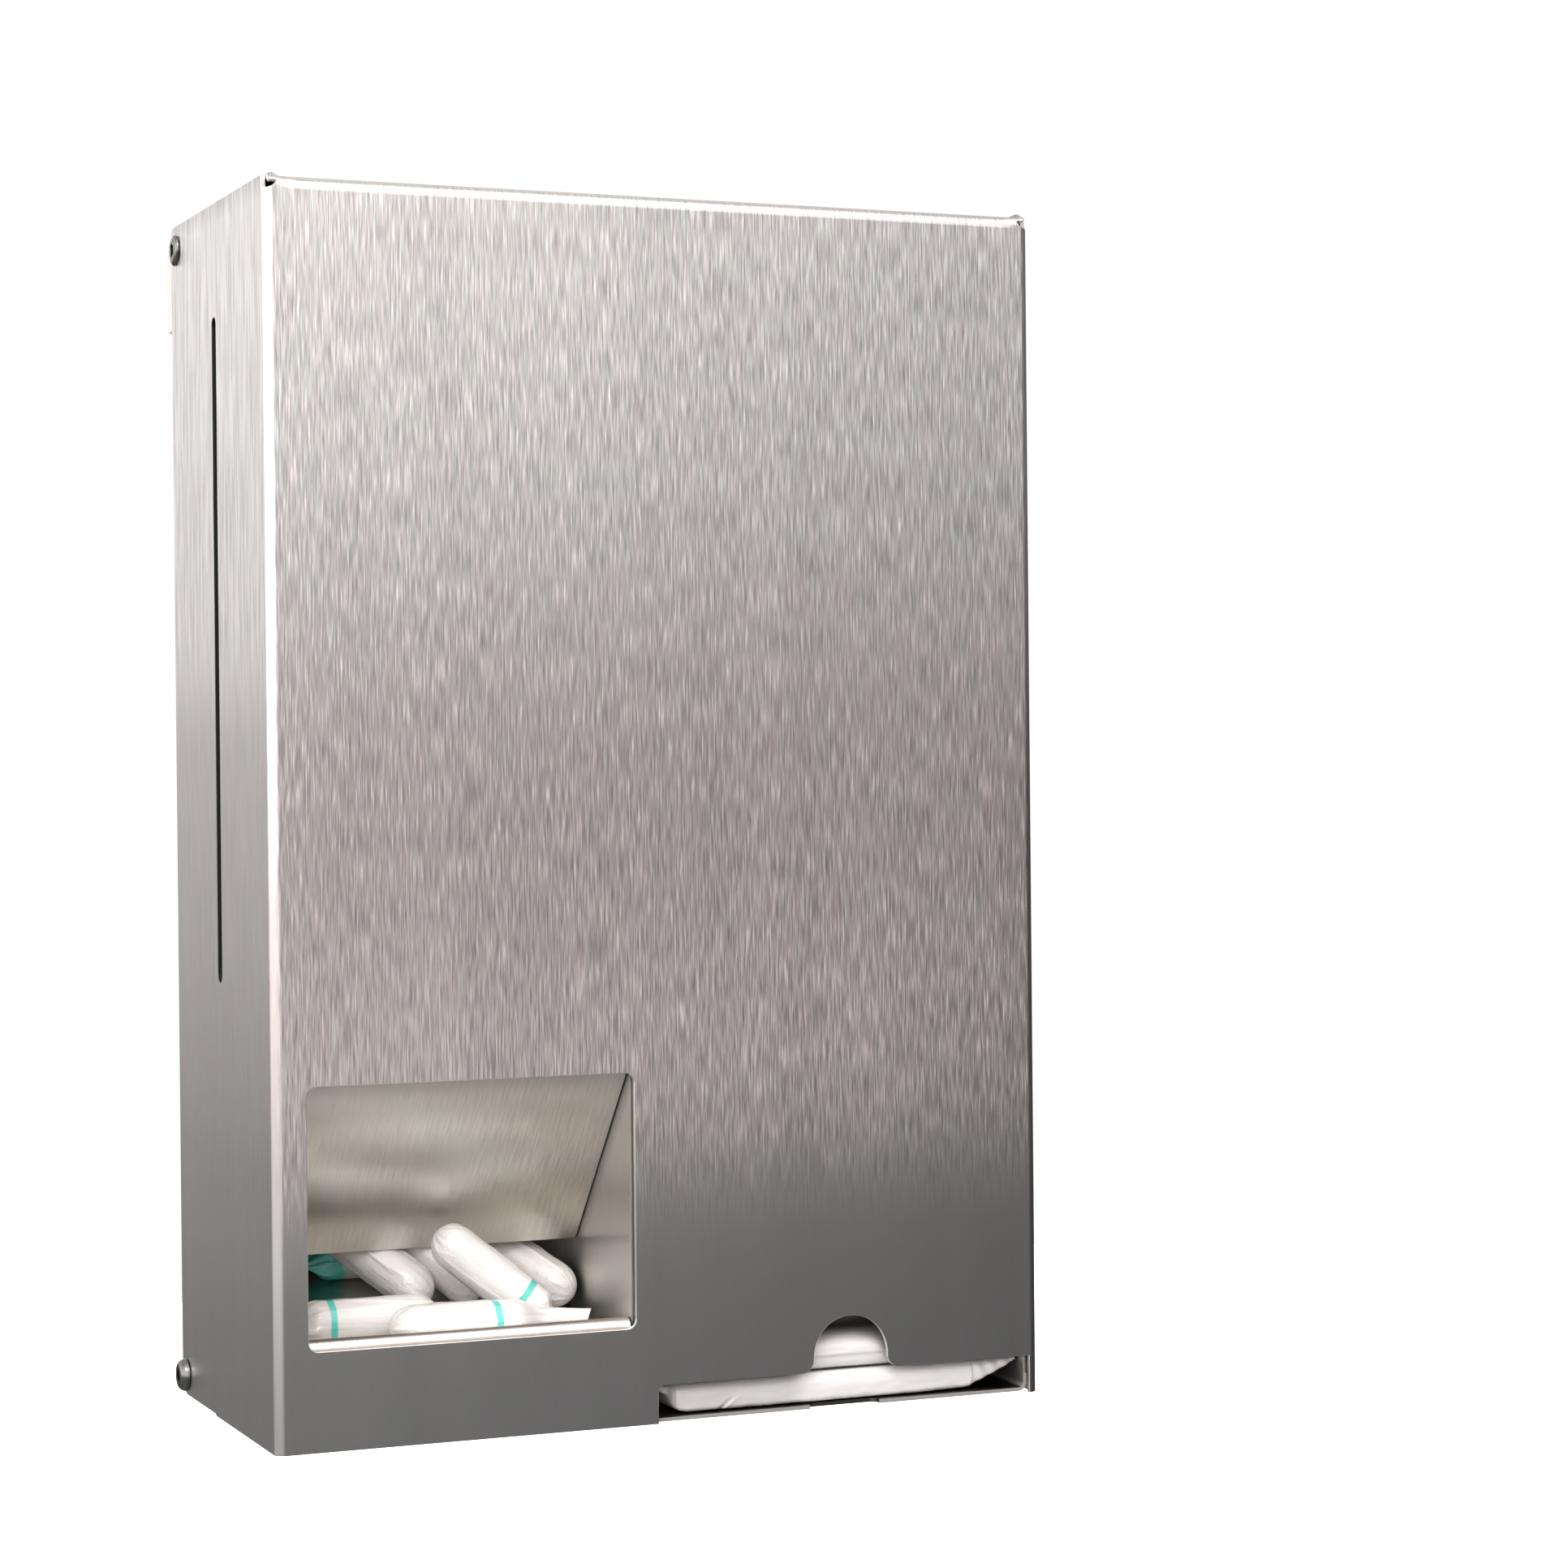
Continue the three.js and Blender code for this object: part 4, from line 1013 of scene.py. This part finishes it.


# one film in three copies with painted shade of growing strength: the bottom packet, the second, and the packets above
FILM = film_material("pad_film", 0.009, [(0.10, 0.30), (0.30, 0.55), (0.58, 1.0)])
FILM_BACK = film_material("pad_film_stack", 0.022, [(0.10, 0.05), (0.34, 0.30), (0.60, 1.0)])
FILM_DEEP = film_material("pad_film_upper", 0.022, [(0.10, 0.03), (0.45, 0.12), (0.85, 0.60)])


PAD_BACK = (0, 0.8, 7.6, 4.2, 6.4, 3.0, 5.2, 3.8)


def pad(i):
    z0 = 1.75 if i == 1 else 11.5 + (i - 2) * 12.3
    z1 = 11.15 if i == 1 else z0 + 11.9
    zm = (z0 + z1) / 2
    back = PAD_BACK[i - 1]
    y0, y1 = 4.6 + back, 98.0 + back
    rng = np.random.default_rng(7 + i)
    ph = rng.uniform(0, 6.28, 8)
    # stations along the packet: lower edge, upper edge, front edge
    if i == 1:
        key = [(123.0, 9.3, 10.2, 9.2), (125.2, 8.2, 10.4, 8.6), (127.2, 7.0, 10.5, 8.2), (127.9, 5.3, 10.5, 7.3), (128.3, 4.3, 10.6, 6.4), (129.2, 3.1, 10.85, 5.4), (130.6, 2.35, 11.05, 4.85),
               (133, 1.9, 11.12, 4.65), (160, 1.9, 11.12, 4.62), (175, 1.85, 11.12, 4.6), (215, 1.9, 11.12, 4.62), (229, 2.2, 11.1, 4.7), (230.9, 2.5, 11.08, 4.65), (231.5, 2.75, 11.06, 5.15), (238, 5.5, 11.0, 5.35), (244, 8.3, 10.95, 5.8), (247.4, 10.0, 10.75, 6.6)]
        near, far = 2.0, 3.6
    else:
        key = [(122.4, zm - 0.4, zm + 0.4, y0 + 7.0), (125.0, zm - 0.9, zm + 0.9, y0 + 4.4), (128.0, zm - 2.6, zm + 2.6, y0 + 1.8), (131.0, z0 + 0.9, z1 - 0.9, y0 + 0.5), (134, z0 + 0.1, z1 - 0.1, y0),
               (227, z0 + 0.1, z1 - 0.1, y0), (231, z0 + 0.9, z1 - 0.9, y0 + 0.4), (235, zm - 2.8, zm + 2.8, y0 + 0.8), (240, zm - 1.0, zm + 1.0, y0 + 1.0), (246.2, zm - 0.35, zm + 0.35, y0 + 1.3)]
        near, far = 3.4, (8.4 if i == 2 else 5.0)
    kx = np.array([k[0] for k in key])
    xs = np.unique(np.round(np.concatenate([np.linspace(key[0][0], 134, 44), np.linspace(134, 227, 120), np.linspace(227, key[-1][0], 60), kx]), 4))
    NF, NT = 44, 14
    verts, uvs = [], []
    for x in xs:
        zl, zh, yf = (float(np.interp(x, kx, [k[c] for k in key])) for c in (1, 2, 3))
        hz, zc = (zh - zl) / 2, (zh + zl) / 2
        thin = smooth(3.2, 0.6, hz)
        yb = y1 - (yf - y0) * 0.8
        lo_d, hi_d = near * (1 - thin) + 0.5 * thin, far * (1 - thin) + 0.5 * thin
        loop = []
        for k in range(NF):
            th = -math.pi / 2 + math.pi * k / (NF - 1)
            c = max(math.cos(th), 0.0) ** 0.9
            loop.append((yf + (lo_d if th < 0 else hi_d) * (1 - c), math.sin(th), 1.0))
        a, b = yf + hi_d, yb - 3.5
        for k in range(1, NT):
            loop.append((a + (b - a) * k / NT, 1.0, 0.0))
        for k in range(NF):
            th = math.pi / 2 - math.pi * k / (NF - 1)
            loop.append((yb - 3.5 * (1 - max(math.cos(th), 0.0) ** 0.9), math.sin(th), 0.0))
        a, b = yb - 3.5, yf + lo_d
        for k in range(1, NT):
            loop.append((a + (b - a) * k / NT, -1.0, 0.0))
        for j, (y, q, fr_) in enumerate(loop):
            z = zc + hz * q
            rip = noise.noise(Vector((x * 0.05 + i * 9.1, y * 0.1, z * 0.22))) * 0.5 + noise.noise(Vector((x * 0.21, y * 0.12 + i * 3.3, z * 0.5))) * 0.22
            y += rip * (0.55 if fr_ else 0.35)
            # slack film: the lower edge waves a little, the upper stays pressed
            if q < 0:
                z += (0.16 * noise.noise(Vector((x * 0.11, 3.0 + i, 0))) + 0.1 * noise.noise(Vector((x * 0.5, 7.0, i)))) * (1 - thin)
            if i == 1:
                # small tuck in the front of the roll
                t = (x - 146.3 - (z - 4.2) * 1.1)
                y += 0.75 * math.exp(-(t / 0.55) ** 2) * smooth(6.4, 4.4, z) * fr_
                y -= 0.3 * math.exp(-((t - 1.3) / 0.8) ** 2) * smooth(6.6, 4.6, z) * fr_
                # short gathers beside the fold at the right
                if x > 231.2:
                    y += fr_ * 0.22 * math.sin((x - 231) * 1.3 + (z - 6) * 0.5)
                if 214 < x < 231:
                    y += fr_ * 0.2 * math.exp(-((x - 222 + (z - 6) * 0.8) / 1.6) ** 2)
            if i == 2:
                y -= fr_ * 0.3 * math.exp(-((z - 16.5 - (x - 186) * 0.012) / 0.45) ** 2)
                y += fr_ * 0.22 * math.exp(-((z - 15.2) / 1.0) ** 2)
            crimp = smooth(0.72, 1.0, thin) * (1 if hz < 0.9 else 0)
            z += crimp * 0.1 * math.sin(x * 5.2 + ph[1])
            verts.append((x, min(max(y, y0 - 0.1), y1 + 1), min(max(z, z0 - 0.05), z1 + 0.02)))
            uvs.append((x / 1000, j / 60))
    n = len(xs)
    NA = len(verts) // n
    faces = []
    for a in range(n - 1):
        for j in range(NA):
            k = (j + 1) % NA
            faces.append((a * NA + j, a * NA + k, (a + 1) * NA + k, (a + 1) * NA + j))
    # both ends: strips between the lower and the upper half of the loop
    for base in (0, (n - 1) * NA):
        order_a = [(NF // 2 - 1 - q) % NA for q in range(NA // 2)]
        order_b = [(NF // 2 + q) % NA for q in range(NA // 2)]
        for q in range(NA // 2 - 1):
            faces.append((base + order_a[q], base + order_b[q], base + order_b[q + 1], base + order_a[q + 1]))
    name = f"pad_{i}_packet"
    me = mesh_from(name, verts, faces, uvs=uvs)
    bm = bmesh.new()
    bm.from_mesh(me)
    bmesh.ops.recalc_face_normals(bm, faces=bm.faces)
    bm.to_mesh(me)
    bm.free()
    o = link(name, me, FILM if i == 1 else FILM_BACK if i == 2 else FILM_DEEP, "bottom_pad" if i == 1 else "chassis", [f"pad_{i}"])
    return o


for i in range(1, 9):
    pad(i)

# ------------------------------------------------------------------ camera
yaw, pitch, roll = math.radians(22.838), math.radians(-0.368), math.radians(-0.53)
f = np.array([math.sin(yaw) * math.cos(pitch), math.cos(yaw) * math.cos(pitch), math.sin(pitch)])
r0 = np.array([math.cos(yaw), -math.sin(yaw), 0.0])
u0 = np.cross(r0, f)
right = math.cos(roll) * r0 + math.sin(roll) * u0
up = -math.sin(roll) * r0 + math.cos(roll) * u0
pos = M((-269.095, -1031.206, 204.771))
cam_data = bpy.data.cameras.new("camera")
cam_data.sensor_width = 36.0
cam_data.lens = 81.88
cam_data.clip_start, cam_data.clip_end = 0.05, 60.0
cam = bpy.data.objects.new("camera", cam_data)
scene.collection.objects.link(cam)
cam.matrix_world = Matrix(((right[0], up[0], -f[0], pos[0]), (right[1], up[1], -f[1], pos[1]), (right[2], up[2], -f[2], pos[2]), (0, 0, 0, 1)))
scene.camera = cam
scene.view_settings.view_transform = "Standard"
scene.view_settings.look = "None"

# ------------------------------------------------------------------ stage and light
floor_mesh = bpy.data.meshes.new("floor")
fz = -1.55
floor_mesh.from_pydata([(-8, -8, fz), (8, -8, fz), (8, 8, fz), (-8, 8, fz)], [], [(0, 1, 2, 3)])
floor = bpy.data.objects.new("floor", floor_mesh)
scene.collection.objects.link(floor)
fm, fnt, fb = new_mat("floor_paint")
fb.inputs["Base Color"].default_value = (0.95, 0.95, 0.95, 1)
fb.inputs["Roughness"].default_value = 0.9
fb.inputs["Emission Color"].default_value = (1, 1, 1, 1)
fb.inputs["Emission Strength"].default_value = 1.0
floor_mesh.materials.append(fm)
floor.visible_glossy = False
floor.visible_diffuse = False

world = bpy.data.worlds.new("studio")
scene.world = world
world.use_nodes = True
wt = world.node_tree
for n in list(wt.nodes):
    wt.nodes.remove(n)
wout = wt.nodes.new("ShaderNodeOutputWorld")
tc = wt.nodes.new("ShaderNodeTexCoord")
sep = wt.nodes.new("ShaderNodeSeparateXYZ")
wt.links.new(tc.outputs["Generated"], sep.inputs[0])


def wmath(op, a, b=None, c=None):
    n = wt.nodes.new("ShaderNodeMath")
    n.operation = op
    for k, v in enumerate((a, b, c)):
        if v is None:
            continue
        if isinstance(v, (int, float)):
            n.inputs[k].default_value = v
        else:
            wt.links.new(v, n.inputs[k])
    return n.outputs[0]


el = wmath("MULTIPLY", wmath("ARCSINE", sep.outputs["Z"]), 180 / math.pi)


def profile(stops):
    """Brightness over elevation in degrees, from -30 to 60."""
    fac = wmath("DIVIDE", wmath("ADD", el, 30.0), 90.0)
    top = max(v for _, v in stops)
    r = ramp(wt, fac, [((e + 30) / 90, v / top) for e, v in stops])
    return wmath("MULTIPLY", r.outputs[0], top)


front_l = profile([(-30, 0.195), (-7.5, 0.193), (-7.0, 0.185), (-6.75, 0.27), (-6.45, 0.49), (-6.2, 0.64), (-5.95, 0.72), (-5.4, 0.75), (-4.8, 0.76), (-4.2, 0.74), (-3.2, 0.65), (-2.2, 0.555), (-1.2, 0.51), (-0.2, 0.49), (0.8, 0.495), (1.8, 0.56), (2.8, 0.65), (3.8, 0.73), (4.8, 0.82), (5.8, 0.93), (6.8, 0.98), (7.8, 1.03), (8.8, 1.10), (13, 1.6), (25, 2.0), (60, 2.2)])
front_r = profile([(-30, 0.185), (-7.2, 0.175), (-6.85, 0.165), (-6.55, 0.15), (-6.25, 0.155), (-5.9, 0.175), (-5.4, 0.205), (-4.8, 0.232), (-4.2, 0.242), (-3.2, 0.243), (-2.2, 0.252), (-1.2, 0.275), (-0.2, 0.29), (0.8, 0.34), (1.8, 0.40), (2.8, 0.43), (3.8, 0.485), (4.8, 0.525), (5.8, 0.555), (6.8, 0.595), (7.8, 0.665), (8.8, 0.715), (12, 1.0), (16, 1.5), (60, 1.9)])
left = profile([(-30, 0.40), (-10, 0.50), (-9, 0.62), (-6.7, 0.95), (-4.6, 1.35), (-2.6, 1.6), (-0.5, 1.95), (1.5, 2.5), (10, 3.0), (60, 2.2)])
rear = profile([(-30, 0.135), (-9, 0.145), (-8.2, 0.15), (-7.6, 0.158), (-6.6, 0.19), (-5.5, 0.275), (-4.0, 0.33), (-2.4, 0.38), (-0.7, 0.405), (0.4, 0.43), (0.8, 0.46), (1.25, 0.60), (1.7, 0.70), (3.8, 0.81), (5.8, 0.87), (7.8, 0.94), (10, 1.05), (20, 1.2), (60, 1.3)])


def sstep(src, a, b):
    n = wt.nodes.new("ShaderNodeMapRange")
    n.interpolation_type = "SMOOTHSTEP"
    n.inputs["From Min"].default_value = a
    n.inputs["From Max"].default_value = b
    wt.links.new(src, n.inputs["Value"])
    return n.outputs[0]


def wmix(fac, a, b):
    return wmath("ADD", wmath("MULTIPLY", a, wmath("SUBTRACT", 1.0, fac)), wmath("MULTIPLY", b, fac))


across = wmath("DIVIDE", wmath("SUBTRACT", sep.outputs["X"], 0.28), 0.18)
across = wmath("MAXIMUM", wmath("MINIMUM", across, 1.6), -0.6)
front = wmath("MAXIMUM", wmix(across, front_l, front_r), 0.12)
fl = sstep(sep.outputs["X"], 0.15, -0.35)
fr = sstep(sep.outputs["Y"], 0.55, 0.9)
slope = wmath("ADD", 1.0, wmath("MULTIPLY", wmath("MAXIMUM", wmath("MINIMUM", wmath("ADD", sep.outputs["X"], 0.24), 0.5), -0.5), 0.6))
val = wmix(fr, wmix(fl, front, left), wmath("MULTIPLY", rear, slope))
dim = wmath("SUBTRACT", 1.0, wmath("MULTIPLY", sstep(sep.outputs["X"], 0.47, 0.72), 0.6))
val = wmath("MULTIPLY", val, dim)
high = wmath("MULTIPLY", sstep(sep.outputs["Y"], -0.2, 0.05), sstep(sep.outputs["Z"], 0.3, 0.55))
val = wmath("MULTIPLY", val, wmath("SUBTRACT", 1.0, wmath("MULTIPLY", high, 0.52)))
lp = wt.nodes.new("ShaderNodeLightPath")
bg = wt.nodes.new("ShaderNodeBackground")
wt.links.new(val, bg.inputs["Strength"])
def wtint(fac, a, b):
    n = wt.nodes.new("ShaderNodeMix")
    n.data_type = "RGBA"
    wt.links.new(fac, n.inputs[0])
    for k, c in ((6, a), (7, b)):
        if isinstance(c, tuple):
            n.inputs[k].default_value = c
        else:
            wt.links.new(c, n.inputs[k])
    return n.outputs[2]


# neutral below, slightly warm above and in front, neutral behind
sky = wtint(sstep(el, 0.5, 4.0), (1.09, 0.965, 0.943, 1), (1.045, 0.985, 0.96, 1))
warm = wtint(sstep(el, -7.2, -6.0), (0.985, 0.985, 0.98, 1), sky)
wt.links.new(wtint(fr, warm, (1.015, 0.985, 0.98, 1)), bg.inputs["Color"])
clear = wt.nodes.new("ShaderNodeBackground")
clear.inputs["Color"].default_value = (1, 1, 1, 1)
clear.inputs["Strength"].default_value = 1.02
both = wt.nodes.new("ShaderNodeMixShader")
wt.links.new(lp.outputs["Is Camera Ray"], both.inputs[0])
wt.links.new(bg.outputs[0], both.inputs[1])
wt.links.new(clear.outputs[0], both.inputs[2])
wt.links.new(both.outputs[0], wout.inputs["Surface"])


def area(name, loc, target, size, power, color=(1, 1, 1)):
    d = bpy.data.lights.new(name, "AREA")
    d.shape = "RECTANGLE"
    d.size, d.size_y = size
    d.energy = power
    d.color = color
    o = bpy.data.objects.new(name, d)
    scene.collection.objects.link(o)
    o.location = loc
    o.rotation_euler = (Vector(target) - Vector(loc)).to_track_quat("-Z", "Y").to_euler()
    return o


area("key", (-0.9, -1.6, 1.5), (0, -0.1, -0.2), (1.2, 0.9), 20)
